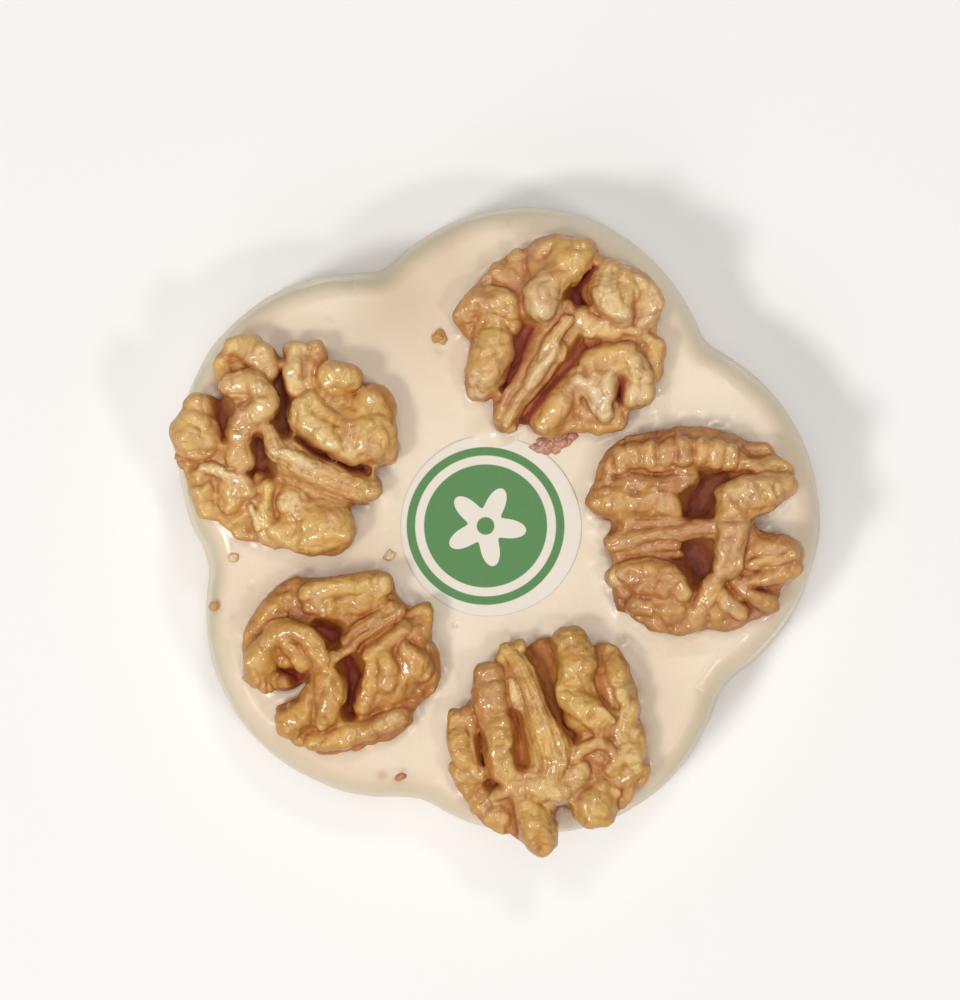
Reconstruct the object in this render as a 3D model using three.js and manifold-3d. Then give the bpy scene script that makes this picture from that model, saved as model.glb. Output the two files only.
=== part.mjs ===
// A flower-shaped processed cheese with five walnut halves pressed into its top and a round paper label.
// Units are millimetres. +Z is up, +X is the photograph's right and +Y the photograph's top.
// The origin is the middle of the flower on its flat underside.
import * as THREE from 'three';
import { mergeVertices } from 'three/addons/utils/BufferGeometryUtils.js';
import Module from 'manifold-3d';

const wasm = await Module();
wasm.setup();

// Driving dimensions of the cheese
const THICKNESS = 20;
const SHOULDER_WIDTH = 3.2;
const SHOULDER_DROP = 3.6;
const DRAFT = 1.7;
const FOOT_EDGE = 0.8;
const PETAL_STEPS = 16;
const NOTCH_SHARPNESS = 70;

// Each petal is part of a circle: the angle and distance of its centre, and its radius at the foot
const PETALS = [
  { angle: 75.6, distance: 21.3, radius: 28.1 },
  { angle: 150.1, distance: 22.8, radius: 27.5 },
  { angle: 219.9, distance: 19.9, radius: 27.8 },
  { angle: 291.5, distance: 19.0, radius: 28.7 },
  { angle: 4.7, distance: 21.5, radius: 28.6 },
];

// Driving dimensions of the label and of the walnuts
const LABEL = { x: 0.1, y: 0.6, radius: 13.3, thickness: 0.4, sides: 48 };
const GAP = 0.3;
const POCKET_GAP = 0.36;
const FOLD_FOOT = 0.3;
const FOLD_SIDES = 8;
const FOLD_PLUMPNESS = 1.14;
const BOWL_HEIGHT = 2.6;
const BOWL_DEPTH = 2.4;

// A walnut half lies with its hollow side up. x and y place its middle on the cheese. The bowl is its
// body: centre and half sizes. A fold is one swelling of the kernel: points along its crest, its widths
// and the heights of its crest over the cheese, from one end to the other. All are from the nut's middle.
const WALNUTS = [
  {
    name: 'nut_west',
    x: -29.4,
    y: 12.2,
    bowl: { x: -1.2, y: -0.2, across: 12.8, along: 12.4 },
    folds: [
      { path: [[-8.3, 14.0], [-5.5, 13.5], [-3.4, 11.6]], widths: [4.8, 5.0, 4.4], crests: [5.5, 6.5, 6.0] },
      { path: [[-9.0, 11.6], [-8.6, 9.8]], widths: [4.6], crests: [5.2] },
      { path: [[-7.4, 9.0], [-4.6, 9.0], [-3.6, 7.0], [-5.0, 4.4]], widths: [4.0, 4.6], crests: [7.4, 8.2, 7.6] },
      { path: [[-6.2, 3.6], [-7.0, 0.6], [-6.8, -2.0]], widths: [4.4, 4.0], crests: [7.4, 7.6, 7.0] },
      { path: [[-13.2, 4.8], [-13.4, 0.8]], widths: [6.4, 6.8], crests: [6.6, 7.0] },
      { path: [[-11.9, -4.2], [-11.6, -8.0]], widths: [5.2, 4.2], crests: [6.2, 5.4] },
      { path: [[-7.4, -6.0], [-5.8, -9.4]], widths: [5.0], crests: [6.2] },
      { path: [[-7.4, -11.0], [-6.6, -11.6]], widths: [5.0], crests: [4.8] },
      { path: [[-3.4, -6.6], [-3.4, -11.6]], widths: [3.8, 4.4], crests: [6.2, 5.8] },
      { path: [[0.6, -11.6], [6.0, -11.5]], widths: [7.2, 7.8], crests: [6.8, 7.4] },
      { path: [[-3.4, 1.8], [0.0, -1.2], [5.0, -4.0], [11.6, -6.4]], widths: [2.4, 4.2, 4.4], crests: [6.8, 8.0, 6.4] },
      { path: [[1.8, 5.2], [4.4, 2.2], [7.6, 0.4]], widths: [5.0, 5.6], crests: [7.8] },
      { path: [[11.0, 5.0], [12.8, 1.0]], widths: [9.4, 7.0], crests: [6.8, 7.6] },
      { path: [[6.4, 9.8], [8.4, 9.7]], widths: [5.0], crests: [8.0] },
      { path: [[2.6, 12.8], [2.2, 9.2]], widths: [6.8, 5.6], crests: [6.0, 6.6] },
    ],
  },
  {
    name: 'nut_north',
    x: 9.9,
    y: 28.1,
    bowl: { x: -0.4, y: -0.6, across: 12.4, along: 11.4 },
    folds: [
      { path: [[0.4, 2.2], [-3.6, -4.6], [-8.2, -11.8]], widths: [4.2, 4.8, 4.4], crests: [7.0, 7.6, 6.4] },
      { path: [[-12.6, 3.6], [-9.0, 4.0], [-7.2, 3.2]], widths: [5.4, 5.8], crests: [5.2, 6.4] },
      { path: [[-10.0, -0.8], [-11.0, -4.0], [-11.8, -6.6]], widths: [5.0, 5.4], crests: [7.0, 7.6] },
      { path: [[-10.0, 8.6], [-6.6, 8.6]], widths: [3.4], crests: [4.2] },
      { path: [[-5.2, 12.2], [-1.0, 12.4], [2.8, 11.6]], widths: [4.4, 5.2], crests: [5.8, 7.2] },
      { path: [[-2.2, 9.2], [-2.7, 5.2]], widths: [5.0, 5.4], crests: [8.4, 9.0] },
      { path: [[7.4, 8.0], [7.2, 5.2], [8.8, 3.8]], widths: [6.2, 5.6], crests: [8.2, 8.6] },
      { path: [[11.2, 7.8], [12.8, 6.0], [12.6, 3.6]], widths: [3.8], crests: [7.2] },
      { path: [[3.2, 1.9], [7.0, 1.0], [11.2, 1.5]], widths: [2.8, 3.0, 2.0], crests: [6.6] },
      { path: [[4.8, -3.4], [8.0, -2.4], [10.4, -3.0], [11.2, -5.0]], widths: [3.4], crests: [7.4] },
      { path: [[13.0, -1.2], [13.0, -2.8]], widths: [3.8], crests: [5.4] },
      { path: [[4.0, -5.8], [6.0, -8.6], [6.4, -10.4]], widths: [4.2, 3.2, 2.8], crests: [7.0] },
      { path: [[10.2, -7.8], [10.0, -8.6]], widths: [5.0], crests: [6.4] },
      { path: [[7.4, -11.5], [4.0, -11.9]], widths: [4.2, 3.8], crests: [4.6, 3.4] },
      { path: [[0.4, -8.2], [-1.4, -10.8], [-2.2, -11.6]], widths: [5.4, 6.0], crests: [6.2] },
    ],
  },
  {
    name: 'nut_east',
    x: 29.9,
    y: -0.4,
    bowl: { x: -1.6, y: -0.2, across: 11.6, along: 12.0 },
    folds: [
      { path: [[-11.6, 10.0], [-6.0, 11.7], [0.0, 12.2], [6.2, 11.5]], widths: [4.2, 5.0, 4.6], crests: [6.0, 7.2, 6.6] },
      { path: [[8.6, 11.4], [10.6, 11.6]], widths: [3.4], crests: [5.0] },
      { path: [[6.6, 9.4], [11.2, 9.4]], widths: [2.9], crests: [6.6] },
      { path: [[5.8, 6.0], [9.0, 5.8], [11.8, 6.6]], widths: [5.2, 5.8], crests: [8.4] },
      { path: [[5.2, 3.6], [5.6, 0.0], [5.0, -3.2]], widths: [4.4], crests: [8.4] },
      { path: [[9.2, -1.8], [13.2, -2.0]], widths: [3.9], crests: [7.0] },
      { path: [[7.2, -5.4], [13.4, -5.0]], widths: [3.3], crests: [6.4] },
      { path: [[5.6, -7.0], [9.0, -8.8], [11.2, -9.2]], widths: [2.9], crests: [5.6] },
      { path: [[6.8, -10.9], [2.2, -11.6]], widths: [4.4, 3.8], crests: [5.4, 4.0] },
      { path: [[-9.0, -6.0], [-5.4, -6.6], [-2.2, -6.4]], widths: [4.4], crests: [7.0] },
      { path: [[-7.4, -9.8], [-1.8, -10.0]], widths: [5.0], crests: [6.0] },
      { path: [[-5.0, -12.7], [-2.2, -12.9]], widths: [3.8], crests: [4.6] },
      { path: [[-11.0, -6.2], [-9.8, -9.2]], widths: [3.4], crests: [4.6] },
      { path: [[2.4, 1.0], [-5.0, 0.2], [-11.0, -1.5]], widths: [3.2, 4.2, 3.6], crests: [6.8, 6.4, 5.6] },
      { path: [[-13.0, 5.1], [-9.0, 5.0], [-4.2, 4.9]], widths: [5.2, 5.6, 5.0], crests: [6.0, 7.2, 7.0] },
    ],
  },
  {
    name: 'nut_southwest',
    x: -21.9,
    y: -19.7,
    bowl: { x: -0.4, y: 0.2, across: 11.4, along: 10.8 },
    folds: [
      { path: [[-11.6, -1.6], [-11.8, 1.0], [-10.4, 3.2]], widths: [5.0, 4.8], crests: [7.0, 7.6] },
      { path: [[-9.6, 4.0], [-7.0, 3.8], [-5.2, 2.4], [-3.6, 1.0]], widths: [4.4, 5.4, 4.4], crests: [7.8, 8.6, 7.8] },
      { path: [[-10.8, 5.6], [-9.0, 7.8], [-7.0, 10.4]], widths: [4.2, 3.8, 2.6], crests: [5.8, 5.2, 4.0] },
      { path: [[-3.6, 9.6], [-1.6, 10.6], [3.0, 11.1], [5.0, 11.4]], widths: [4.4, 4.8, 4.4], crests: [6.8, 7.6, 6.8] },
      { path: [[-1.6, 7.6], [3.8, 8.2]], widths: [3.8], crests: [5.2] },
      { path: [[-0.8, 1.2], [3.0, 4.0], [7.4, 7.0]], widths: [2.6, 3.6], crests: [6.8] },
      { path: [[11.3, 6.0], [11.1, 4.6]], widths: [4.0], crests: [5.4] },
      { path: [[7.8, 3.6], [5.9, 0.2]], widths: [5.2, 4.8], crests: [7.4] },
      { path: [[10.6, 0.2], [10.8, -0.8]], widths: [5.4], crests: [7.0] },
      { path: [[6.2, -2.4], [3.2, -5.4]], widths: [5.0, 3.4], crests: [6.6, 5.6] },
      { path: [[13.0, -1.2], [12.0, -3.8], [9.2, -5.0]], widths: [2.8], crests: [4.2] },
      { path: [[-3.6, -10.6], [0.0, -11.0], [5.0, -9.6], [8.4, -7.8]], widths: [3.8, 4.2, 4.0], crests: [5.6, 5.6, 4.8] },
      { path: [[-2.7, -1.4], [-2.0, -4.5], [-2.0, -6.8]], widths: [4.8, 5.0], crests: [7.6, 8.0, 7.0] },
      { path: [[-5.2, -7.0], [-7.4, -8.3]], widths: [4.8, 5.0], crests: [7.0, 6.4] },
    ],
  },
  {
    name: 'nut_south',
    x: 8.2,
    y: -31.6,
    bowl: { x: -0.2, y: 0.4, across: 12.8, along: 11.6 },
    folds: [
      { path: [[-4.8, 12.8], [-2.8, 9.0], [-0.6, 4.0], [1.2, -2.4]], widths: [2.8, 3.4, 4.2, 5.6], crests: [6.2, 7.4, 7.6, 7.0] },
      { path: [[-8.2, 9.2], [-8.0, 6.6]], widths: [5.2], crests: [7.0] },
      { path: [[-7.2, 3.4], [-6.6, -2.8]], widths: [4.2], crests: [7.0, 6.6] },
      { path: [[-12.7, 3.4], [-12.4, 0.0], [-11.1, -2.4]], widths: [3.9], crests: [6.0] },
      { path: [[-11.6, -4.2], [-11.0, -5.8]], widths: [4.6], crests: [4.8] },
      { path: [[-8.4, -9.2], [-6.8, -9.6]], widths: [4.8], crests: [5.2] },
      { path: [[-3.2, -8.2], [-1.7, -11.0], [-1.0, -13.6]], widths: [5.2, 5.4, 5.0], crests: [6.8, 7.2, 6.0] },
      { path: [[-2.4, -5.6], [1.4, -6.5]], widths: [3.2], crests: [8.0] },
      { path: [[3.2, -4.2], [5.6, -3.8]], widths: [3.8], crests: [7.4] },
      { path: [[6.8, -8.3], [7.6, -8.5]], widths: [7.2], crests: [7.0] },
      { path: [[10.8, -6.4], [10.6, -7.2]], widths: [3.6], crests: [4.8] },
      { path: [[12.0, 1.6], [12.2, -1.0], [12.8, -3.6]], widths: [3.4, 3.8, 3.4], crests: [5.8, 6.6, 6.0] },
      { path: [[9.3, 12.2], [10.4, 9.2], [11.5, 4.2]], widths: [3.9, 4.2], crests: [6.0, 6.8, 6.2] },
      { path: [[3.8, 13.4], [4.0, 11.0], [3.9, 8.4]], widths: [6.4, 6.0, 4.6], crests: [7.2, 8.2, 7.8] },
      { path: [[4.4, 6.8], [6.0, 5.0], [7.6, 3.4]], widths: [4.6], crests: [7.8, 7.2] },
    ],
  },
];

const COLOURS = {
  cheese: { color: 0xead6bc, roughness: 0.42, metalness: 0 },
  walnut: { color: 0xba8a52, roughness: 0.38, metalness: 0 },
  label: { color: 0xeee4d7, roughness: 0.6, metalness: 0 },
};

// A value part of the way along a short list, on straight lines between its entries
function along(values, share) {
  const place = share * (values.length - 1);
  const first = Math.min(Math.floor(place), values.length - 1);
  const second = Math.min(first + 1, values.length - 1);
  return THREE.MathUtils.lerp(values[first], values[second], place - first);
}

function toSolid(geometry) {
  geometry.deleteAttribute('normal');
  geometry.deleteAttribute('uv');
  const merged = mergeVertices(geometry, 1e-4);
  return new wasm.Manifold(new wasm.Mesh({
    numProp: 3,
    vertProperties: Float32Array.from(merged.attributes.position.array),
    triVerts: Uint32Array.from(merged.index.array),
  }));
}

function toMesh(solid, name, look) {
  const body = solid.getMesh();
  const geometry = new THREE.BufferGeometry();
  geometry.setAttribute('position', new THREE.BufferAttribute(body.vertProperties, 3));
  geometry.setIndex(new THREE.BufferAttribute(body.triVerts, 1));
  geometry.computeVertexNormals();
  const mesh = new THREE.Mesh(geometry, new THREE.MeshStandardMaterial(look));
  mesh.name = name;
  return mesh;
}

// How far the flower reaches in one direction, with every petal's circle made smaller by the inset.
// A power mean of the circles' reaches rounds the notches between the petals.
function reach(direction, inset) {
  let total = 0;
  for (const petal of PETALS) {
    const turn = direction - THREE.MathUtils.degToRad(petal.angle);
    const beside = petal.distance * Math.sin(turn);
    const radius = petal.radius - inset;
    if (Math.abs(beside) < radius) {
      const far = petal.distance * Math.cos(turn) + Math.sqrt(radius ** 2 - beside ** 2);
      total += Math.max(far, 0) ** NOTCH_SHARPNESS;
    }
  }
  return total ** (1 / NOTCH_SHARPNESS);
}

// The side of the cheese from its foot to its top face: pairs of inset and height
function sideProfile() {
  const bend = THICKNESS - SHOULDER_DROP;
  const profile = [[FOOT_EDGE, 0], [0, FOOT_EDGE], [DRAFT, bend]];
  const steps = 4;
  for (let step = 1; step <= steps; step += 1) {
    const turn = (Math.PI / 2) * (step / steps);
    const inset = DRAFT + SHOULDER_WIDTH * (1 - Math.cos(turn));
    profile.push([inset, bend + SHOULDER_DROP * Math.sin(turn)]);
  }
  return profile;
}

// Rings of the flower's outline, one for each step of the side's profile, with a point in the middle of
// the underside and one in the middle of the top
function cheeseBody() {
  const profile = sideProfile();
  const around = PETALS.length * PETAL_STEPS;
  const points = [0, 0, 0];
  for (const [inset, height] of profile) {
    for (let step = 0; step < around; step += 1) {
      const direction = (step / around) * Math.PI * 2;
      const out = reach(direction, inset);
      points.push(out * Math.cos(direction), out * Math.sin(direction), height);
    }
  }
  points.push(0, 0, THICKNESS);
  const top = points.length / 3 - 1;
  const faces = [];
  for (let step = 0; step < around; step += 1) {
    const next = (step + 1) % around;
    faces.push(0, 1 + next, 1 + step);
    for (let ring = 0; ring < profile.length - 1; ring += 1) {
      const low = 1 + ring * around;
      const high = low + around;
      faces.push(low + step, low + next, high + next, low + step, high + next, high + step);
    }
    const last = 1 + (profile.length - 1) * around;
    faces.push(last + step, last + next, top);
  }
  const geometry = new THREE.BufferGeometry();
  geometry.setAttribute('position', new THREE.Float32BufferAttribute(points, 3));
  geometry.setIndex(faces);
  return toSolid(geometry);
}

// One swelling of a kernel: a blunt roll that follows the crest's path. Its section is an ellipse that
// stands from just over the cheese's surface to the crest's height.
function foldSolid(fold) {
  const stations = fold.path.map(([x, y]) => new THREE.Vector3(x, y, 0));
  const first = stations[0];
  const last = stations[stations.length - 1];
  const startTip = first.clone().sub(stations[1]).setLength(along(fold.widths, 0) / 2).add(first);
  const endTip = last.clone().sub(stations[stations.length - 2]).setLength(along(fold.widths, 1) / 2).add(last);
  const curve = new THREE.CatmullRomCurve3([startTip, ...stations, endTip], false, 'centripetal');
  const slender = curve.getLength() / along(fold.widths, 0.5);
  const blunt = 1.8 + 0.9 * slender;
  const rings = Math.round(THREE.MathUtils.clamp(2.6 + slender, 4, 7));
  const geometry = new THREE.SphereGeometry(1, FOLD_SIDES, rings);
  const spots = geometry.attributes.position;
  for (let i = 0; i < spots.count; i += 1) {
    const height = THREE.MathUtils.clamp(spots.getY(i), -1, 1);
    const share = (height + 1) / 2;
    const middle = curve.getPointAt(share);
    const heading = curve.getTangentAt(share);
    const ball = Math.sqrt(Math.max(1 - height ** 2, 1e-12));
    const girth = Math.sqrt(Math.max(1 - Math.abs(height) ** blunt, 0)) / ball;
    const sideways = spots.getX(i) * girth * FOLD_PLUMPNESS * (along(fold.widths, share) / 2);
    const crest = along(fold.crests, share);
    const x = middle.x + heading.y * sideways;
    const y = middle.y - heading.x * sideways;
    const z = (crest + FOLD_FOOT) / 2 + spots.getZ(i) * girth * ((crest - FOLD_FOOT) / 2);
    spots.setXYZ(i, x, y, z);
  }
  return toSolid(geometry);
}

// The body of a kernel in its place: the lower part lies in the cheese. grow makes it larger all round.
function bowlSolid(walnut, grow) {
  const bowl = walnut.bowl;
  const geometry = new THREE.SphereGeometry(1, 20, 10);
  const tall = (BOWL_HEIGHT + BOWL_DEPTH) / 2;
  geometry.rotateX(Math.PI / 2);
  geometry.scale(bowl.across + grow, bowl.along + grow, tall + grow);
  geometry.translate(bowl.x + walnut.x, bowl.y + walnut.y, THICKNESS + (BOWL_HEIGHT - BOWL_DEPTH) / 2);
  return toSolid(geometry);
}

function walnutSolid(walnut) {
  let kernel = bowlSolid(walnut, 0);
  for (const fold of walnut.folds) {
    kernel = kernel.add(foldSolid(fold).translate([walnut.x, walnut.y, THICKNESS]));
  }
  return kernel;
}

// A disc whose foot is at the given height
function discSolid(radius, height, foot) {
  const geometry = new THREE.CylinderGeometry(radius, radius, height, LABEL.sides);
  geometry.rotateX(Math.PI / 2);
  geometry.translate(LABEL.x, LABEL.y, foot + height / 2);
  return toSolid(geometry);
}

// The label lies in a shallow dent of the cheese, so only half of its thickness stands proud
function makeCheese() {
  const dentFloor = THICKNESS - LABEL.thickness / 2 - GAP;
  let cheese = cheeseBody().subtract(discSolid(LABEL.radius + GAP, 2, dentFloor));
  for (const walnut of WALNUTS) {
    cheese = cheese.subtract(bowlSolid(walnut, POCKET_GAP));
  }
  return toMesh(cheese, 'cheese', COLOURS.cheese);
}

function makeLabel() {
  const disc = discSolid(LABEL.radius, LABEL.thickness, THICKNESS - LABEL.thickness / 2);
  return toMesh(disc, 'label', COLOURS.label);
}

const part = new THREE.Group();
part.add(makeCheese());
part.add(makeLabel());
for (const walnut of WALNUTS) {
  part.add(toMesh(walnutSolid(walnut), walnut.name, COLOURS.walnut));
}

export default part;
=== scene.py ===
import math

import bmesh
import bpy
import numpy as np
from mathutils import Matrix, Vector, kdtree


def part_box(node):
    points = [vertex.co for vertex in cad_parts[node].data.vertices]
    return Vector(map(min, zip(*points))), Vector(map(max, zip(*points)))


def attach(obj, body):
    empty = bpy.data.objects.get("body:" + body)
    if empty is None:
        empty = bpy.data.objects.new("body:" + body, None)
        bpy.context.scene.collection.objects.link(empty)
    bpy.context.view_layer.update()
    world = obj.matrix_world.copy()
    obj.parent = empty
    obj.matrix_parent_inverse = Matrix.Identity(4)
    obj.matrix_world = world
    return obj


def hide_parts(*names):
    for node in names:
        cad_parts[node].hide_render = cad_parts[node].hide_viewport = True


# The look of a flower-shaped processed cheese with five walnut halves and a round paper label.
# Lengths are millimetres until a mesh is made. Blender's own units are metres.

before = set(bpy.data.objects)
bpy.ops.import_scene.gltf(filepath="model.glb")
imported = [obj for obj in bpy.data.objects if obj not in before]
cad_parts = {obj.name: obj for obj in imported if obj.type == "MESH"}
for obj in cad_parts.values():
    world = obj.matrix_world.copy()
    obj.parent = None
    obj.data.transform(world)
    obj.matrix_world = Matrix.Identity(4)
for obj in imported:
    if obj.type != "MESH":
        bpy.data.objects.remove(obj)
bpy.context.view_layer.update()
MM = 0.001

cheese_low, cheese_high = (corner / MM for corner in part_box("cheese"))
label_low, label_high = (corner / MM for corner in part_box("label"))
TOP = cheese_high.z

# The photograph: its size, its scale on the cheese's top face, and the pixel over the flower's middle
IMAGE_WIDTH = 960
IMAGE_HEIGHT = 1000
PIXELS_PER_MM = 6.8
MIDDLE_PIXEL = (490, 530)


def from_pixel(column, row):
    """The place on the cheese's top face that shows at a pixel of the photograph."""
    return (column - MIDDLE_PIXEL[0]) / PIXELS_PER_MM, (MIDDLE_PIXEL[1] - row) / PIXELS_PER_MM


# Random relief

class Relief:
    """Smooth random heights between -1 and 1, from a seeded lattice that repeats after 32 steps."""

    SIDE = 32

    def __init__(self, seed):
        shape = (self.SIDE,) * 3
        self.lattice = np.random.default_rng(seed).uniform(-1, 1, shape).astype(np.float32)

    def _steps(self, values, size):
        """The lattice steps below some coordinates, and how far on to the next step they are."""
        steps = values / size
        low = np.floor(steps)
        share = steps - low
        return low.astype(np.int32) % self.SIDE, share * share * (3 - 2 * share)

    def at(self, x, y, z, size):
        """The heights at points, for bumps of about this size."""
        places = [self._steps(values, size) for values in np.broadcast_arrays(x, y, z)]
        total = 0.0
        for corner in np.ndindex(2, 2, 2):
            weight = 1.0
            place = []
            for (low, share), up in zip(places, corner):
                weight = weight * (share if up else 1 - share)
                place.append((low + up) % self.SIDE)
            total = total + weight * self.lattice[tuple(place)]
        return total

    def over(self, x, y, z, size):
        """The heights over a whole grid, from the coordinates along its three axes."""
        heights = self.lattice
        for values in (z, y, x):
            low, share = self._steps(np.asarray(values), size)
            blend = np.zeros((len(values), self.SIDE), np.float32)
            rows = np.arange(len(values))
            blend[rows, low] = 1 - share
            blend[rows, (low + 1) % self.SIDE] += share
            heights = np.tensordot(blend, heights, axes=(1, 2))
        return heights


# Surfaces from distances

def blend_union(first, second, blend):
    """The smaller of two distances, with the crease between them rounded over the blend's width."""
    share = np.clip(0.5 + 0.5 * (second - first) / blend, 0, 1)
    return second + (first - second) * share - blend * share * (1 - share)


def ease(values, low, high):
    """0 below low, 1 above high and a smooth rise in between."""
    share = np.clip((values - low) / (high - low), 0, 1)
    return share * share * (3 - 2 * share)


def surface_net(field, low, step):
    """Points and four-sided faces of the surface where a grid of distances changes sign."""
    inside = field < 0
    cells = np.array(field.shape) - 1
    corners = [np.array(c) for c in np.ndindex(2, 2, 2)]
    count = sum(
        inside[c[0]:c[0] + cells[0], c[1]:c[1] + cells[1], c[2]:c[2] + cells[2]].astype(np.int8)
        for c in corners
    )
    crossed = (count > 0) & (count < 8)
    number = np.full(crossed.shape, -1, np.int64)
    number[crossed] = np.arange(crossed.sum())
    spots = np.argwhere(crossed)
    total = np.zeros(spots.shape)
    hits = np.zeros(len(spots))
    for start in corners:
        for axis in range(3):
            if start[axis] == 1:
                continue
            end = start.copy()
            end[axis] = 1
            a = field[tuple((spots + start).T)]
            b = field[tuple((spots + end).T)]
            change = (a < 0) != (b < 0)
            share = a[change] / (a[change] - b[change])
            total[change] += start + share[:, None] * (end - start)
            hits[change] += 1
    points = low + step * (spots + total / hits[:, None])
    faces = []
    for axis in range(3):
        first, second = (axis + 1) % 3, (axis + 2) % 3
        near = np.moveaxis(inside, axis, 0)[:-1]
        far = np.moveaxis(inside, axis, 0)[1:]
        change = np.moveaxis(near != far, 0, axis)
        edges = np.argwhere(change)
        edges = edges[(edges[:, first] > 0) & (edges[:, second] > 0)]
        edges = edges[(edges[:, first] < cells[first]) & (edges[:, second] < cells[second])]
        back_first = edges.copy()
        back_first[:, first] -= 1
        back_second = edges.copy()
        back_second[:, second] -= 1
        back_both = back_first.copy()
        back_both[:, second] -= 1
        quads = np.stack([number[tuple(e.T)] for e in (edges, back_first, back_both, back_second)], axis=1)
        outward = inside[tuple(edges.T)]
        quads[~outward] = quads[~outward][:, ::-1]
        faces.append(quads)
    return points, np.concatenate(faces)


def relax(points, faces, rounds, share):
    """Moves every point towards the middle of its neighbours, to take away the grid's steps."""
    pairs = np.concatenate([faces[:, [i, (i + 1) % 4]] for i in range(4)])
    ends = np.concatenate([pairs[:, 0], pairs[:, 1]])
    others = np.concatenate([pairs[:, 1], pairs[:, 0]])
    count = np.bincount(ends, minlength=len(points))
    for _ in range(rounds):
        middle = [np.bincount(ends, points[others, axis], len(points)) / count for axis in range(3)]
        points = points + share * (np.stack(middle, axis=1) - points)
    return points


def main_body(points, faces):
    """The mesh without the small loose bits that float beside its largest body or inside it."""
    pairs = np.concatenate([faces[:, [i, (i + 1) % 4]] for i in range(4)])
    label = np.arange(len(points))
    settled = False
    while not settled:
        lower = np.minimum(label[pairs[:, 0]], label[pairs[:, 1]])
        renewed = label.copy()
        np.minimum.at(renewed, pairs[:, 0], lower)
        np.minimum.at(renewed, pairs[:, 1], lower)
        renewed = renewed[renewed]
        settled = np.array_equal(renewed, label)
        label = renewed
    kept = label == np.bincount(label).argmax()
    number = np.cumsum(kept) - 1
    return points[kept], number[faces[kept[faces[:, 0]]]]


def sample(field, low, step, points):
    """The field's value at points between those of its grid."""
    places = (points - low) / step
    places = np.clip(places, 0, np.array(field.shape) - 1.001)
    base = places.astype(int)
    share = places - base
    total = np.zeros(len(points))
    for corner in np.ndindex(2, 2, 2):
        weight = np.prod(np.where(corner, share, 1 - share), axis=1)
        total += weight * field[tuple((base + corner).T)]
    return total


# Meshes

def make_piece(name, points, faces, material, values=None):
    """A smooth-shaded mesh that rides on the cheese. Values are named numbers for each point."""
    mesh = bpy.data.meshes.new(name)
    mesh.from_pydata((np.asarray(points) * MM).tolist(), [], [list(map(int, f)) for f in faces])
    mesh.validate()
    for title, numbers in (values or {}).items():
        attribute = mesh.attributes.new(title, "FLOAT", "POINT")
        attribute.data.foreach_set("value", np.asarray(numbers, np.float32))
    mesh.polygons.foreach_set("use_smooth", [True] * len(mesh.polygons))
    mesh.materials.append(material)
    piece = bpy.data.objects.new(name, mesh)
    bpy.context.scene.collection.objects.link(piece)
    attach(piece, "root")
    return piece


# Shaders

class Number:
    """A number that varies over a surface. Sums and products of it add Math nodes."""

    def __init__(self, shader, socket):
        self.shader = shader
        self.socket = socket

    def _math(self, operation, first, second):
        node = self.shader.add("Math", {"operation": operation}, {0: first, 1: second})
        return Number(self.shader, node.outputs[0])

    def __add__(self, other):
        return self._math("ADD", self, other)

    __radd__ = __add__

    def __sub__(self, other):
        return self._math("SUBTRACT", self, other)

    def __rsub__(self, other):
        return self._math("SUBTRACT", other, self)

    def __mul__(self, other):
        return self._math("MULTIPLY", self, other)

    __rmul__ = __mul__

    def __pow__(self, other):
        return self._math("POWER", self, other)

    def largest(self, other):
        """The larger of two numbers."""
        return self._math("MAXIMUM", self, other)

    def between(self, low, high):
        """0 below low, 1 above high and a smooth rise in between."""
        settings = {"interpolation_type": "SMOOTHSTEP"}
        values = {"Value": self, "From Min": low, "From Max": high}
        return Number(self.shader, self.shader.add("MapRange", settings, values).outputs["Result"])


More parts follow.
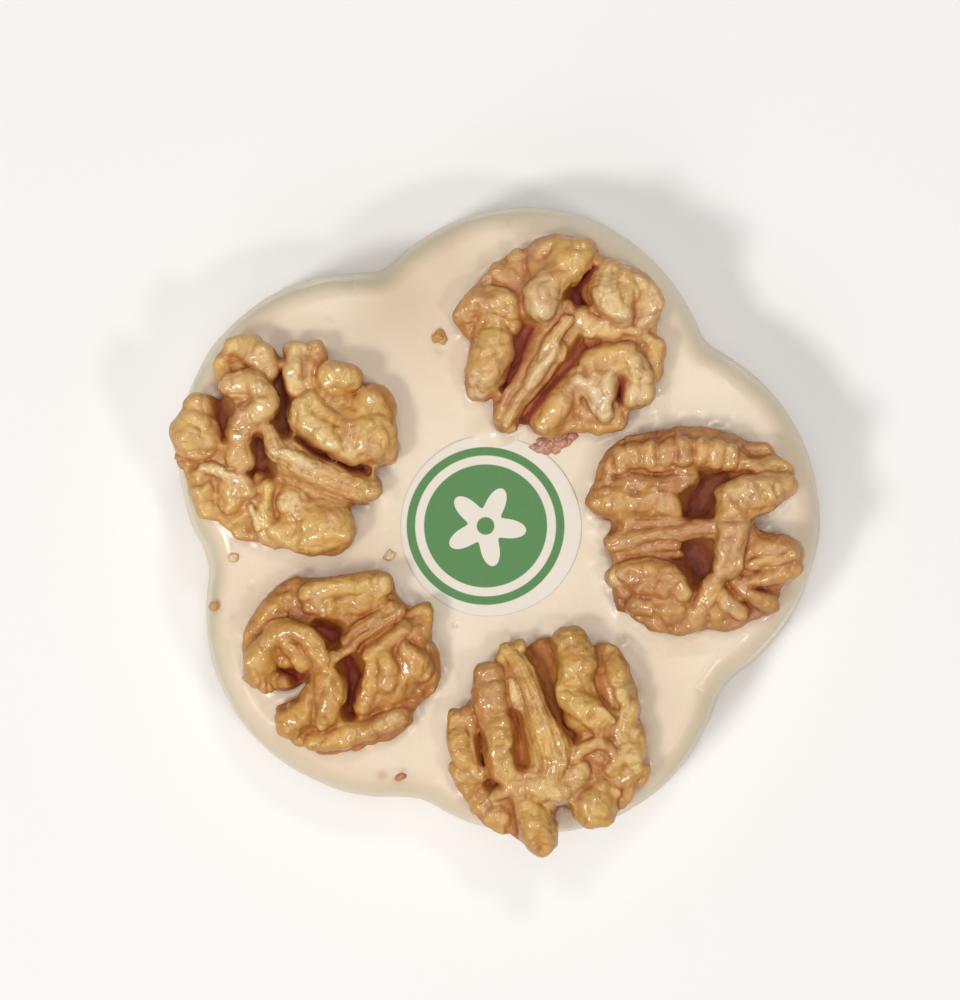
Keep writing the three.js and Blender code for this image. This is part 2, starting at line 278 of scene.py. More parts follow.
class Shader:
    """The nodes of one material."""

    def __init__(self, name):
        self.material = bpy.data.materials.new(name)
        self.material.use_nodes = True
        self.tree = self.material.node_tree
        self.tree.nodes.clear()

    def add(self, kind, settings, values):
        """A node of this kind. Its settings come first, then the values or links of its sockets."""
        node = self.tree.nodes.new("ShaderNode" + kind)
        for name, setting in settings.items():
            setattr(node, name, setting)
        for name, value in values.items():
            if isinstance(value, Number):
                value = value.socket
            if isinstance(value, bpy.types.NodeSocket):
                self.tree.links.new(value, node.inputs[name])
            else:
                node.inputs[name].default_value = value
        return node

    def place(self):
        """The surface's own coordinates, in metres."""
        return self.add("TexCoord", {}, {}).outputs["Object"]

    def parts(self, vector):
        """The three numbers of a vector."""
        node = self.add("SeparateXYZ", {}, {"Vector": vector})
        return [Number(self, node.outputs[axis]) for axis in "XYZ"]

    def stored(self, name):
        """A number stored on the mesh's points."""
        node = self.add("Attribute", {"attribute_name": name}, {})
        return Number(self, node.outputs["Fac"])

    def noise(self, size, detail=3.0, roughness=0.55, stretch=(1, 1, 1), twist=0.0):
        """Random patches of about this size in millimetres, from 0 to 1."""
        scaled = self.add("Mapping", {}, {"Vector": self.place(), "Scale": stretch})
        values = {
            "Vector": scaled.outputs[0],
            "Scale": 1 / (size * MM),
            "Detail": detail,
            "Roughness": roughness,
            "Distortion": twist,
        }
        return Number(self, self.add("TexNoise", {}, values).outputs[0])

    def mix(self, share, first, second):
        """A colour between two colours."""
        node = self.add("Mix", {"data_type": "RGBA"}, {"Factor": share})
        for socket, value in ((node.inputs[6], first), (node.inputs[7], second)):
            if isinstance(value, bpy.types.NodeSocket):
                self.tree.links.new(value, socket)
            else:
                socket.default_value = (*value, 1)
        return node.outputs[2]

    def multiply(self, colour, factors):
        """A colour times a colour."""
        return self.add("VectorMath", {"operation": "MULTIPLY"}, {0: colour, 1: factors}).outputs[0]

    def bump(self, height, depth):
        """A normal from heights of 0 to 1 that stand for a relief this deep in millimetres."""
        return self.add("Bump", {}, {"Height": height, "Distance": depth * MM}).outputs[0]

    def finish(self, values):
        """The material, with these values or links on its surface's sockets."""
        surface = self.add("BsdfPrincipled", {}, values)
        self.add("OutputMaterial", {}, {"Surface": surface.outputs[0]})
        return self.material


# Materials

# The colours of the cheese: two of its paste, one of its grain, and those that the named values bring in:
# painted shade, painted green bounce light with shade, and real stains with painted contact shadow
PASTE_LIGHT = (0.87, 0.745, 0.575)
PASTE_WARM = (0.85, 0.70, 0.52)
PASTE_GRAIN = (0.90, 0.80, 0.64)
PASTE_SHADE = (0.66, 0.50, 0.345)
PASTE_OLIVE_BOUNCE = (0.56, 0.52, 0.31)
PASTE_STAIN_AND_SHADOW = (0.40, 0.19, 0.09)

# The colours of walnut skin: two of it where it is plain, two of its wide patches, then those of its parts,
# among them painted light on crests and painted shade on flanks, valleys, creases, hollows and lower edges
GOLD = (0.76, 0.475, 0.145)
BROWN = (0.62, 0.33, 0.08)
BLUSH = (0.50, 0.19, 0.075)
STRAW = (0.62, 0.41, 0.095)
CREST_LIGHT = (0.80, 0.55, 0.22)
PALE_SKIN = (0.86, 0.69, 0.41)
FLANK_SHADE = (0.42, 0.165, 0.03)
VALLEY_SHADE = (0.46, 0.18, 0.045)
MOTTLE = (0.44, 0.19, 0.05)
SPECK = (0.76, 0.50, 0.21)
VEIN = (0.36, 0.13, 0.04)
FIBRE = (0.78, 0.52, 0.23)
RED_SKIN = (0.40, 0.135, 0.065)
CREASE_SHADE = (0.34, 0.105, 0.03)
SHADE = (0.46, 0.155, 0.035)
BARE_FLESH = (0.84, 0.65, 0.42)

# The crumbs' hollow colour and the colour of painted shade on their lower edges
CRUMB_DEEP = (0.3, 0.07, 0.03)
CRUMB_RIM_SHADE = (0.35, 0.13, 0.05)


def cheese_material():
    """Smooth moist paste with faint grain, painted shade and painted green bounce light towards its edge, and
    stains with painted contact shadow by the kernels.
    """
    shader = Shader("cream_cheese")
    cloud = shader.noise(16, detail=2)
    grain = shader.noise(1.3, detail=4)
    stain_and_shadow = shader.stored("stain_and_shadow")
    wet = shader.stored("wet")
    cream = shader.mix(cloud.between(0.35, 0.7), PASTE_LIGHT, PASTE_WARM)
    colour = shader.mix(grain.between(0.45, 0.8) * 0.25, cream, PASTE_GRAIN)
    # Painted shade: soft shadow spots beside the kernels and a darker shoulder
    colour = shader.mix(shader.stored("painted_shade"), colour, PASTE_SHADE)
    # Painted green bounce light and shade on the cheese's outer edge, most in the north-west
    colour = shader.mix(shader.stored("olive_bounce") * (0.6 + grain * 0.5), colour, PASTE_OLIVE_BOUNCE)
    # Real stains of walnut juice and bits, and painted contact shadow beside the kernels, strongest east of
    # them
    colour = shader.mix(stain_and_shadow, colour, PASTE_STAIN_AND_SHADOW)
    rough = 0.52 - grain * 0.1 - wet * 0.32
    smear = shader.noise(5, detail=3, stretch=(1.0, 0.45, 1.0), twist=0.6)
    ripple = shader.noise(0.9, detail=2)
    height = smear * 0.6 + grain * 0.4 + ripple * wet * 0.45
    return shader.finish({
        "Base Color": colour,
        "Roughness": rough,
        "Normal": shader.bump(height, 0.09),
        "Subsurface Weight": 0.22,
        "Subsurface Radius": (1.0, 0.6, 0.35),
        "Subsurface Scale": 2.2 * MM,
        "Coat Weight": 0.12,
        "Coat Roughness": 0.22,
    })


def walnut_material(name, seed, deep, rim_shade, tint):
    """The wet golden skin of a walnut, with painted light on its crests and painted shade on its flanks,
    valleys, creases and lower edge.

    deep colours its hollows, partly the skin's own dark and partly painted shade, rim_shade is the painted
    shade of its lower edge, and the tint multiplies every colour.
    """
    shader = Shader(name)
    hollow = shader.stored("hollow")
    pale = shader.stored("pale")
    red = shader.stored("red")
    low = shader.stored("low")
    vein = shader.stored("vein")
    fibre = shader.stored("fibre")
    scar = shader.stored("scar")
    swell = shader.stored("swell")
    crease = shader.stored("crease")
    steep = shader.stored("steep")
    patch = shader.noise(4.5 + 0.3 * seed, detail=3, roughness=0.6)
    mottle = shader.noise(1.6, detail=4, roughness=0.65, twist=0.8)
    speck = shader.noise(0.42, detail=3, roughness=0.7)
    blush = shader.noise(7.5, detail=2, roughness=0.5)
    uneven = (patch - 0.5) * 0.9 + (mottle - 0.5) * 0.5
    # crest: where painted light lightens the convex crests
    crest = (swell + uneven).between(-0.05, 0.75)
    # valley and line: where painted shade darkens concave places and thin creases
    valley_shade = (swell * -1 + uneven * 0.6).between(-0.15, 0.8)
    line = (crease * -1 + (mottle - 0.5) * 0.5).between(0.2, 1.0)
    colour = shader.mix(patch.between(0.3, 0.72), GOLD, BROWN)
    colour = shader.mix(blush.between(0.5, 0.66) * 0.5, colour, BLUSH)
    colour = shader.mix((1 - blush).between(0.5, 0.64) * 0.5, colour, STRAW)
    # Painted light on the crests
    colour = shader.mix(crest * 0.4, colour, CREST_LIGHT)
    colour = shader.mix(pale * (0.6 + patch * 0.6), colour, PALE_SKIN)
    # Painted shade on steep flanks
    colour = shader.mix(steep * (0.65 + patch * 0.5), colour, FLANK_SHADE)
    # Painted shade in valleys
    colour = shader.mix(valley_shade * 0.4, colour, VALLEY_SHADE)
    colour = shader.mix(mottle.between(0.54, 0.74) * 0.3, colour, MOTTLE)
    colour = shader.mix(speck.between(0.55, 0.75) * 0.25, colour, SPECK)
    colour = shader.mix(vein * 0.45, colour, VEIN)
    colour = shader.mix(fibre * 0.4, colour, FIBRE)
    colour = shader.mix(red * 0.75, colour, RED_SKIN)
    # Painted shade in thin creases
    colour = shader.mix(line * 0.5, colour, CREASE_SHADE)
    # Hollows: painted shade, then the deep colour, partly the skin's own dark and partly painted shade
    colour = shader.mix(hollow.between(0.1, 0.7) * 0.6, colour, SHADE)
    # Painted shade on the kernel's lower edge near the cheese
    colour = shader.mix(low * (0.35 + patch * 0.5 + mottle * 0.3), colour, rim_shade)
    colour = shader.mix(hollow.between(0.5, 1.0) * 0.85, colour, deep)
    flake = (scar * 0.9 + speck * 1.5 + mottle * 0.9 - 1.75).between(0.0, 0.55)
    colour = shader.mix(flake * 0.6, colour, BARE_FLESH)
    colour = shader.multiply(colour, tint)
    rough = 0.26 + speck * 0.16 + hollow * 0.3 + flake * 0.15
    wet = shader.noise(3.2, detail=3).between(0.38, 0.62) * (1 - hollow.between(0.2, 0.7))
    height = speck * 0.2 + mottle * 0.8
    return shader.finish({
        "Base Color": colour,
        "Roughness": rough,
        "Normal": shader.bump(height, 0.28),
        "Subsurface Weight": 0.2,
        "Subsurface Radius": (1.0, 0.45, 0.2),
        "Subsurface Scale": 1.0 * MM,
        "Coat Weight": (0.25 + wet * 0.6) * (1 - hollow.between(0.3, 0.8)),
        "Coat Roughness": 0.11,
    })


def label_material(middle_x, middle_y):
    """White coated paper with a round green print: an outer band, a white ring and a plain flower."""
    shader = Shader("printed_paper")
    x, y, _ = shader.parts(shader.place())
    x = x * (1 / MM) - middle_x
    y = y * (1 / MM) - middle_y
    out = (x * x + y * y) ** 0.5
    disc = 1 - out.between(PRINT_RADIUS - PRINT_EDGE, PRINT_RADIUS + PRINT_EDGE)
    ring_out = out.between(RING_INNER - PRINT_EDGE, RING_INNER + PRINT_EDGE)
    ring = ring_out * (1 - out.between(RING_OUTER - PRINT_EDGE, RING_OUTER + PRINT_EDGE))
    turn = Number(shader, shader.add("Math", {"operation": "ARCTAN2"}, {0: y, 1: x}).outputs[0])
    angle = turn * PETALS + FLOWER_TURN
    wave = Number(shader, shader.add("Math", {"operation": "COSINE"}, {0: angle}).outputs[0])
    petal = FLOWER_RADIUS * (0.72 + wave * 0.28)
    flower = 1 - (out - petal).between(-PRINT_EDGE, PRINT_EDGE)
    eye = 1 - out.between(FLOWER_EYE - PRINT_EDGE, FLOWER_EYE + PRINT_EDGE)
    white = (ring + flower - eye).largest(0)
    ink = disc * (1 - white)
    fibre = shader.noise(0.5, detail=3)
    cloud = shader.noise(7, detail=2)
    paper = shader.mix(cloud, (0.86, 0.80, 0.70), (0.80, 0.73, 0.63))
    green = shader.mix(fibre, (0.062, 0.215, 0.046), (0.076, 0.24, 0.058))
    colour = shader.mix(ink, paper, green)
    return shader.finish({
        "Base Color": colour,
        "Roughness": 0.5 - ink * 0.08,
        "Normal": shader.bump(fibre, 0.03),
        "Coat Weight": 0.05,
        "Coat Roughness": 0.3,
    })


def floor_material():
    shader = Shader("pale_floor")
    cloud = shader.noise(60, detail=2)
    colour = shader.mix(cloud, (0.96, 0.96, 0.96), (0.97, 0.97, 0.97))
    return shader.finish({"Base Color": colour, "Roughness": 0.9})


# Walnut halves
# A nut's origin is where its folds were measured from: its place is the offset from the middle of the
# CAD node's box. Each list starts with the broad low folds that fill in between the slimmer ones.

def fold(*crest, pale=0.0, red=0.0, ribs=0.0, beads=1.0):
    """One swelling of a kernel: rows of x, y, width and height over the cheese along its crest.

    pale and red are how far its skin is from golden. ribs is the strength of its fibres, and beads that
    of the creases across it.
    """
    return {"crest": crest, "pale": pale, "red": red, "ribs": ribs, "beads": beads}


WEST_FOLDS = [
    fold((-12.6, -4.2, 4.4, 4.9), (-11.6, -6.6, 4.6, 4.6), beads=0),
    fold((-9.4, -6.6, 5.0, 5.5), (-6.4, -8.0, 6.0, 5.5), (-4.6, -9.8, 6.0, 5.3), beads=0),
    fold((-7.6, 14.2, 3.6, 5.4), (-5.6, 13.9, 4.4, 6.4), (-4.0, 12.8, 4.4, 6.8), (-2.9, 11.2, 3.2, 6.2),
         pale=0.25),
    fold((-9.4, 12.0, 3.6, 4.8), (-8.9, 10.4, 3.8, 5.2), (-8.3, 9.0, 2.8, 5.4)),
    fold((-6.8, 11.8, 2.6, 5.2), red=0.2),
    fold((-7.8, 8.7, 4.0, 6.8), (-5.6, 9.2, 4.2, 7.8), (-3.9, 8.2, 4.0, 8.2), (-3.5, 6.2, 4.0, 8.4),
         (-4.6, 4.8, 3.6, 8.0), pale=0.25),
    fold((-6.0, 4.4, 3.6, 7.6), (-6.6, 3.0, 4.0, 7.4), pale=0.1, red=0.45),
    fold((-7.0, 1.5, 3.8, 7.4)),
    fold((-7.3, -0.4, 3.8, 7.2), (-6.9, -2.2, 3.4, 6.6)),
    fold((-12.9, 5.2, 5.2, 6.2)),
    fold((-13.4, 2.0, 6.8, 7.4), (-13.2, 0.8, 6.4, 7.0)),
    fold((-16.0, -1.6, 1.6, 4.6), (-12.4, -1.4, 1.8, 5.2), (-9.4, -2.0, 1.6, 5.6)),
    fold((-15.6, -2.8, 1.4, 3.6), (-12.8, -2.6, 1.6, 4.4), red=0.3),
    fold((-12.8, -4.6, 3.0, 5.6)),
    fold((-12.4, -6.6, 3.8, 5.8), (-11.7, -8.8, 3.8, 4.8)),
    fold((-12.0, -3.2, 1.8, 6.0), (-9.2, -3.6, 2.2, 6.5), (-6.8, -5.2, 2.2, 6.4), pale=0.3),
    fold((-8.5, -6.2, 3.6, 6.4), (-8.6, -8.0, 3.6, 6.2)),
    fold((-6.2, -6.4, 3.2, 6.4)),
    fold((-4.5, -5.6, 2.8, 5.4), (-4.7, -7.6, 3.0, 5.6), red=0.25),
    fold((-7.6, -10.6, 4.6, 5.2), (-6.9, -11.6, 4.4, 4.8), red=0.15),
    fold((-5.7, -9.0, 1.4, 6.0), (-4.2, -12.0, 1.5, 6.0), pale=0.55),
    fold((-3.2, -6.2, 2.4, 6.4), (-3.0, -9.4, 3.6, 6.2), (-3.0, -12.2, 3.6, 5.6)),
    fold((0.3, -8.2, 4.3, 6.9)),
    fold((-0.6, -12.4, 5.0, 6.4), (2.2, -12.2, 6.6, 7.2), (5.8, -12.0, 7.8, 7.8)),
    fold((-2.9, 2.4, 1.8, 6.6), (-1.5, -0.3, 3.2, 7.2), (1.2, -2.3, 4.6, 7.8), (5.0, -4.2, 5.0, 7.6),
         (9.0, -5.7, 4.6, 6.8), (11.6, -6.5, 3.2, 5.8), red=0.25, ribs=1, beads=0),
    fold((-0.8, -0.8, 1.4, 7.7), (1.6, -1.7, 2.0, 8.0), (3.8, -3.0, 1.4, 7.8), pale=0.9, beads=0),
    fold((12.0, -4.6, 1.8, 4.0), (13.2, -6.0, 1.8, 3.8), (11.6, -7.8, 1.8, 3.8), red=1.0),
    fold((1.8, 5.6, 3.6, 7.4), (2.4, 3.8, 4.0, 7.6), (4.6, 1.9, 4.0, 7.8), (7.4, 0.0, 4.0, 7.7),
         (9.4, -0.8, 3.6, 7.2), pale=0.2),
    fold((3.0, 6.0, 5.0, 7.2), (5.4, 3.8, 5.2, 7.1)),
    fold((8.4, 2.0, 5.2, 7.4)),
    fold((11.6, 5.2, 7.6, 6.8)),
    fold((12.0, 1.6, 7.2, 7.8), (12.6, 0.4, 6.0, 7.6)),
    fold((14.2, -0.8, 3.8, 6.4), pale=0.25),
    fold((6.2, 9.9, 5.0, 8.0), (8.6, 9.8, 4.4, 7.8)),
    fold((1.1, 13.6, 3.2, 6.2), (0.8, 11.2, 3.2, 6.8), (1.2, 8.8, 3.0, 6.6), pale=0.45),
    fold((3.9, 13.6, 3.8, 5.6), (3.4, 11.4, 3.8, 6.4), (3.0, 9.2, 3.4, 6.4), red=0.15),
]

NORTH_FOLDS = [
    fold((-2.4, 10.4, 5.4, 6.6), (0.8, 10.2, 5.4, 7.0), beads=0),
    fold((7.2, 7.2, 6.6, 7.2), (10.0, 6.0, 7.0, 7.1), (11.2, 5.0, 4.6, 6.4), beads=0),
    fold((-9.4, 3.6, 6.0, 6.2), (-10.0, 0.6, 5.2, 6.1), beads=0),
    fold((5.6, -4.4, 4.8, 6.7), (9.0, -3.6, 4.4, 6.8), beads=0),
    fold((2.6, -6.6, 4.6, 6.0), (0.6, -9.4, 6.4, 5.9), (-1.4, -11.8, 5.6, 5.0), beads=0),
    fold((3.6, -10.4, 5.0, 5.2), (6.8, -11.0, 4.6, 5.2), (8.2, -11.6, 3.2, 4.8), beads=0),
    fold((-8.8, 8.6, 4.2, 4.6), (-6.0, 9.4, 4.6, 5.2), beads=0),
    fold((3.0, 12.4, 4.6, 7.2), (2.2, 11.3, 4.8, 7.6), (0.4, 9.8, 4.2, 7.8), (-1.4, 8.2, 4.4, 8.2),
         (-2.6, 6.6, 4.6, 8.7)),
    fold((-2.7, 5.8, 4.8, 8.8), (-2.8, 4.6, 4.4, 8.4), pale=0.95),
    fold((-2.9, 12.6, 3.2, 6.2), (-1.6, 12.9, 2.8, 6.2), red=0.15),
    fold((-3.2, 14.0, 1.4, 4.6), (-1.0, 14.1, 1.6, 5.0), red=0.9),
    fold((-0.2, 12.0, 3.8, 6.8), (1.4, 12.5, 3.8, 7.0), (3.0, 12.4, 4.0, 7.0)),
    fold((-6.6, 11.8, 2.2, 4.4), (-5.4, 10.0, 2.6, 5.0), pale=0.4),
    fold((-11.2, 8.0, 1.6, 3.4), (-10.2, 8.7, 2.0, 3.8), pale=0.5),
    fold((-8.6, 9.9, 3.0, 5.0), (-7.2, 8.6, 3.8, 5.6), (-5.8, 6.8, 3.6, 5.2), red=0.4),
    fold((-13.4, 3.8, 4.4, 5.8), (-11.6, 4.8, 5.0, 6.6), red=0.12),
    fold((-9.4, 5.2, 5.0, 7.0), (-7.6, 4.4, 4.6, 6.6)),
    fold((-13.1, 1.6, 2.8, 4.8), (-11.4, 2.0, 2.8, 5.0), red=0.3),
    fold((-7.6, 2.2, 4.2, 5.8), red=0.15),
    fold((-9.6, 0.0, 4.8, 6.8), (-10.2, -2.6, 5.8, 7.4), (-10.9, -5.0, 5.6, 7.2), beads=0.6),
    fold((-11.8, -6.0, 4.8, 6.6), (-12.5, -7.4, 3.4, 5.4), pale=0.9),
    fold((0.6, 3.6, 3.8, 5.8), (-0.6, 0.6, 5.4, 5.8), (-3.0, -3.8, 5.6, 5.4), (-5.6, -8.0, 5.2, 5.0),
         (-7.8, -12.0, 3.8, 4.6), red=0.45, ribs=1, beads=0),
    fold((0.9, 2.6, 1.8, 6.7), (-0.6, -0.2, 2.2, 6.9), (-2.8, -3.8, 2.6, 6.8), (-5.2, -7.8, 2.4, 6.2),
         (-7.7, -12.2, 1.8, 5.3), red=0.1, pale=0.2, ribs=1, beads=0),
    fold((-1.6, -2.2, 1.6, 7.0), (-3.4, -5.0, 2.2, 7.1), (-4.8, -7.2, 1.6, 6.6), pale=0.95, beads=0),
    fold((-4.6, -2.8, 1.8, 5.0), (-6.8, -7.4, 2.0, 5.4), (-8.6, -11.4, 1.8, 4.8),
         red=0.45, ribs=1, beads=0),
    fold((0.6, -1.4, 1.3, 6.0), (-2.2, -5.6, 1.4, 6.0), (-5.4, -10.0, 1.4, 5.4), (-7.8, -12.7, 1.2, 4.6),
         red=0.2, beads=0),
    fold((6.8, 9.4, 4.2, 7.2), (6.9, 7.2, 4.8, 8.0), (7.2, 5.0, 4.8, 8.3), (8.6, 3.8, 4.2, 8.0), pale=0.5),
    fold((9.2, 8.5, 3.4, 7.4), (9.8, 6.2, 3.6, 7.9), pale=0.1),
    fold((11.6, 8.2, 3.4, 7.0), (13.0, 6.2, 3.6, 7.0), (13.0, 4.0, 3.4, 6.4), (12.0, 2.7, 2.6, 6.0),
         pale=0.55),
    fold((3.4, 3.0, 3.8, 6.3), (5.4, 1.8, 4.0, 6.6), (7.6, 0.8, 3.0, 6.4), pale=0.3),
    fold((8.6, 1.6, 1.5, 6.5), (11.0, 1.2, 1.5, 6.2), (13.2, 2.0, 1.3, 5.2), pale=0.3, beads=0),
    fold((4.4, -0.4, 1.5, 5.2), (8.0, 0.1, 1.5, 5.9), (12.6, -0.1, 1.5, 5.4), beads=0),
    fold((4.6, -3.2, 3.4, 6.6), (7.0, -2.4, 3.4, 7.2), (9.4, -2.1, 3.4, 7.6)),
    fold((10.9, -3.6, 3.2, 7.4), (11.6, -5.6, 3.4, 6.8), pale=0.4),
    fold((11.4, -8.0, 4.8, 6.4), pale=0.5),
    fold((13.6, -1.4, 3.0, 5.6), (13.8, -3.2, 3.0, 5.5), (13.4, -5.2, 2.6, 5.0), red=0.15),
    fold((2.8, -6.2, 2.4, 6.6), (4.6, -7.8, 2.8, 7.0), (5.8, -9.4, 3.2, 7.0), (6.4, -11.2, 2.6, 6.2),
         pale=0.85),
    fold((5.2, -5.2, 3.2, 6.9)),
    fold((7.4, -5.8, 3.0, 7.2), (6.8, -7.8, 2.8, 7.2), pale=0.85),
    fold((3.6, -11.6, 3.6, 4.2), red=0.15),
    fold((8.0, -12.4, 3.4, 4.8), (6.2, -12.9, 3.0, 4.4)),
    fold((1.2, -7.4, 3.4, 5.8), (-0.2, -9.8, 5.0, 6.6), (-2.0, -12.2, 5.0, 5.8), beads=0.5),
    fold((1.6, -8.6, 1.3, 6.2), (1.3, -11.6, 1.4, 5.4), pale=0.5, beads=0),
]

EAST_FOLDS = [
    fold((-12.2, 9.4, 3.6, 5.7), (-9.4, 10.9, 4.8, 6.2), (-6.0, 11.5, 5.0, 6.6), (-2.0, 11.9, 5.2, 6.8),
         (2.0, 12.0, 5.0, 6.7), (5.0, 11.6, 4.2, 6.5), (6.4, 11.1, 3.0, 6.3), red=0.1, beads=0),
    fold((-7.0, -6.6, 5.6, 6.4), (-4.6, -8.2, 7.0, 6.5), (-3.2, -10.4, 7.4, 6.1), beads=0),
    fold((2.6, -9.0, 5.0, 5.6), (3.4, -10.8, 5.4, 5.2), beads=0),
    fold((8.4, -3.4, 4.2, 5.9), (11.8, -4.0, 5.6, 6.1), beads=0),
    fold((6.8, -8.0, 3.4, 5.2), (9.8, -9.0, 4.4, 5.0), beads=0),
    fold((7.0, 8.8, 3.4, 6.0), (11.0, 8.6, 4.6, 6.2), beads=0),
    # Its red is partly the skin's own and partly painted shade on the kernel's north edge
    fold((-9.8, 12.4, 2.4, 4.4), (-6.0, 13.7, 2.6, 4.6), (-2.0, 14.1, 2.6, 4.8), (2.0, 14.3, 2.4, 4.8),
         (5.4, 13.4, 2.2, 4.6), red=0.9),
    fold((-7.4, 9.8, 1.5, 6.6), (-5.4, 9.6, 1.6, 6.8), (-3.4, 9.5, 1.4, 6.6), beads=0),
    fold((8.2, 12.0, 2.4, 5.0), (10.4, 11.6, 2.6, 5.2), red=0.4),
    fold((6.2, 9.9, 2.4, 6.3), (9.0, 10.0, 2.6, 6.7), (11.8, 9.8, 2.8, 6.6), (13.2, 8.8, 2.4, 6.2)),
    fold((5.4, 5.6, 4.4, 8.0), (8.0, 6.1, 5.2, 8.5), (11.0, 6.5, 5.2, 8.3), (12.9, 6.8, 3.8, 7.4), pale=0.3,
         beads=1.3),
    fold((7.4, 3.9, 2.6, 7.2), (10.4, 4.6, 3.0, 7.2)),
    fold((5.3, 4.2, 4.2, 8.0), (5.3, 3.0, 4.4, 8.2)),
    fold((5.2, 0.9, 4.4, 8.3), (5.3, -0.4, 4.2, 8.2), pale=0.35),
    fold((5.0, -1.8, 4.2, 8.0), (4.8, -3.9, 4.2, 7.6), (4.5, -4.9, 3.2, 7.0), pale=0.35),
    fold((6.8, -0.6, 1.4, 7.5), (6.6, -2.6, 1.5, 7.3), (6.3, -4.4, 1.4, 7.0), pale=0.3, beads=0),
    fold((8.6, -2.1, 3.6, 6.2), (11.0, -2.3, 4.4, 6.7), (13.4, -2.8, 4.4, 6.6), beads=0.4),
    fold((8.0, -4.6, 1.6, 6.4), (10.4, -4.1, 1.7, 6.9), (12.6, -3.6, 1.6, 7.1), (14.2, -3.0, 1.6, 6.9),
         pale=0.2, beads=0),
    fold((7.4, -6.6, 2.4, 6.1), (10.2, -6.2, 3.2, 6.6), (12.8, -5.6, 3.4, 6.6), (14.2, -5.0, 2.6, 6.2),
         beads=0.4),
    fold((5.7, -7.1, 1.6, 5.8), (7.6, -8.6, 2.4, 6.1), (9.6, -9.7, 3.0, 5.8), (11.6, -10.2, 3.0, 5.2),
         red=0.3, beads=0.3),
    fold((3.6, -8.2, 2.0, 5.8), (4.6, -9.8, 3.2, 6.2), (6.2, -11.3, 2.8, 5.6), pale=0.3),
    fold((1.2, -13.0, 2.0, 4.0), (4.0, -12.9, 2.4, 4.4), (6.6, -12.6, 2.4, 4.2), (9.0, -11.7, 1.8, 3.8),
         red=0.5),
    fold((3.2, -6.7, 2.4, 6.6), (2.0, -8.6, 3.2, 6.3), (0.8, -10.8, 3.6, 5.8), (-0.2, -12.4, 3.2, 5.0),
         pale=0.15),
    fold((-9.4, -5.5, 3.6, 6.5), (-6.6, -5.6, 4.0, 7.0), (-4.0, -6.1, 3.6, 7.0), red=0.1),
    fold((-2.8, -7.0, 3.6, 7.2), (-1.8, -8.4, 3.2, 6.9), pale=0.1),
    fold((-7.8, -7.4, 2.8, 6.6), (-5.6, -7.6, 3.2, 6.9), (-4.6, -8.4, 2.6, 6.8), red=0.2),
    fold((-8.4, -10.2, 3.2, 5.8), (-6.6, -10.4, 3.4, 6.2), red=0.35),
    fold((-3.9, -10.6, 3.4, 6.4), (-2.4, -11.0, 3.4, 6.2), red=0.1),
    fold((-5.1, -13.0, 3.2, 5.0), red=0.4),
    fold((-1.9, -13.2, 3.2, 5.0), red=0.35),
    fold((-7.4, -11.9, 2.2, 4.4), red=0.45),
    fold((-11.4, -6.1, 3.0, 5.2), pale=0.7),
    fold((-10.2, -8.4, 2.0, 4.2), (-10.2, -9.8, 2.4, 3.8), red=1.0),
    fold((-10.2, -10.4, 1.6, 3.4), (-11.0, -11.0, 0.9, 2.8), red=1.0),
    fold((-9.4, 1.3, 1.6, 5.6), (-6.0, 1.7, 1.8, 6.0), (-2.0, 1.6, 1.8, 6.2), red=0.4, ribs=0.6, beads=0),
    fold((-11.8, -1.2, 3.0, 5.6), (-8.0, -0.5, 3.4, 6.2), (-4.0, 0.1, 3.2, 6.6), (0.0, 0.8, 3.0, 6.8),
         (2.8, 0.8, 3.0, 7.0), red=0.45, ribs=0.8, beads=0),
    fold((-11.2, -2.4, 2.8, 5.0), (-7.0, -1.9, 3.0, 5.6), (-3.2, -1.3, 2.6, 5.8),
         red=0.6, ribs=0.6, beads=0),
    fold((-9.6, -3.5, 1.8, 4.8), (-5.0, -3.2, 2.0, 5.2), (-2.4, -3.2, 1.4, 4.8), red=0.35),
    fold((-14.2, 4.6, 3.8, 5.8), (-12.0, 4.9, 5.0, 6.6), (-8.6, 4.9, 5.0, 7.0), (-5.8, 4.9, 4.4, 7.2),
         (-4.2, 4.6, 3.4, 6.9), beads=0.7),
    fold((-13.6, 6.8, 2.6, 5.6), (-10.4, 7.3, 2.6, 6.4), (-6.4, 7.3, 2.8, 6.6), (-2.4, 7.6, 3.0, 6.6),
         (-0.6, 8.2, 2.6, 6.2), red=0.4),
    fold((-3.8, 5.4, 2.8, 6.8), (-3.2, 3.6, 2.4, 6.4), red=0.1),
    fold((2.4, -10.2, 2.8, 3.6), (3.4, -12.0, 2.4, 3.2), red=0.6),
    fold((4.8, -7.2, 2.4, 4.2), (7.2, -9.6, 2.4, 4.0), (9.6, -11.0, 2.2, 3.6), red=0.8),
]
# The row of beads along its northern ridge: x, y, width and height
EAST_BEADS = [(-12.5, 9.0, 2.5, 6.2), (-10.7, 10.5, 2.6, 6.9), (-8.7, 11.3, 2.7, 7.2),
              (-6.4, 11.5, 2.8, 7.4),
              (-4.1, 11.8, 2.7, 7.5), (-1.7, 12.0, 3.0, 7.7), (0.8, 12.1, 2.9, 7.6), (3.1, 11.9, 2.7, 7.4),
              (5.2, 11.4, 2.6, 7.1)]
EAST_FOLDS += [fold((x, y - 1.0, width, height - 0.2), (x, y + 0.8, width, height), pale=0.1)
               for x, y, width, height in EAST_BEADS]

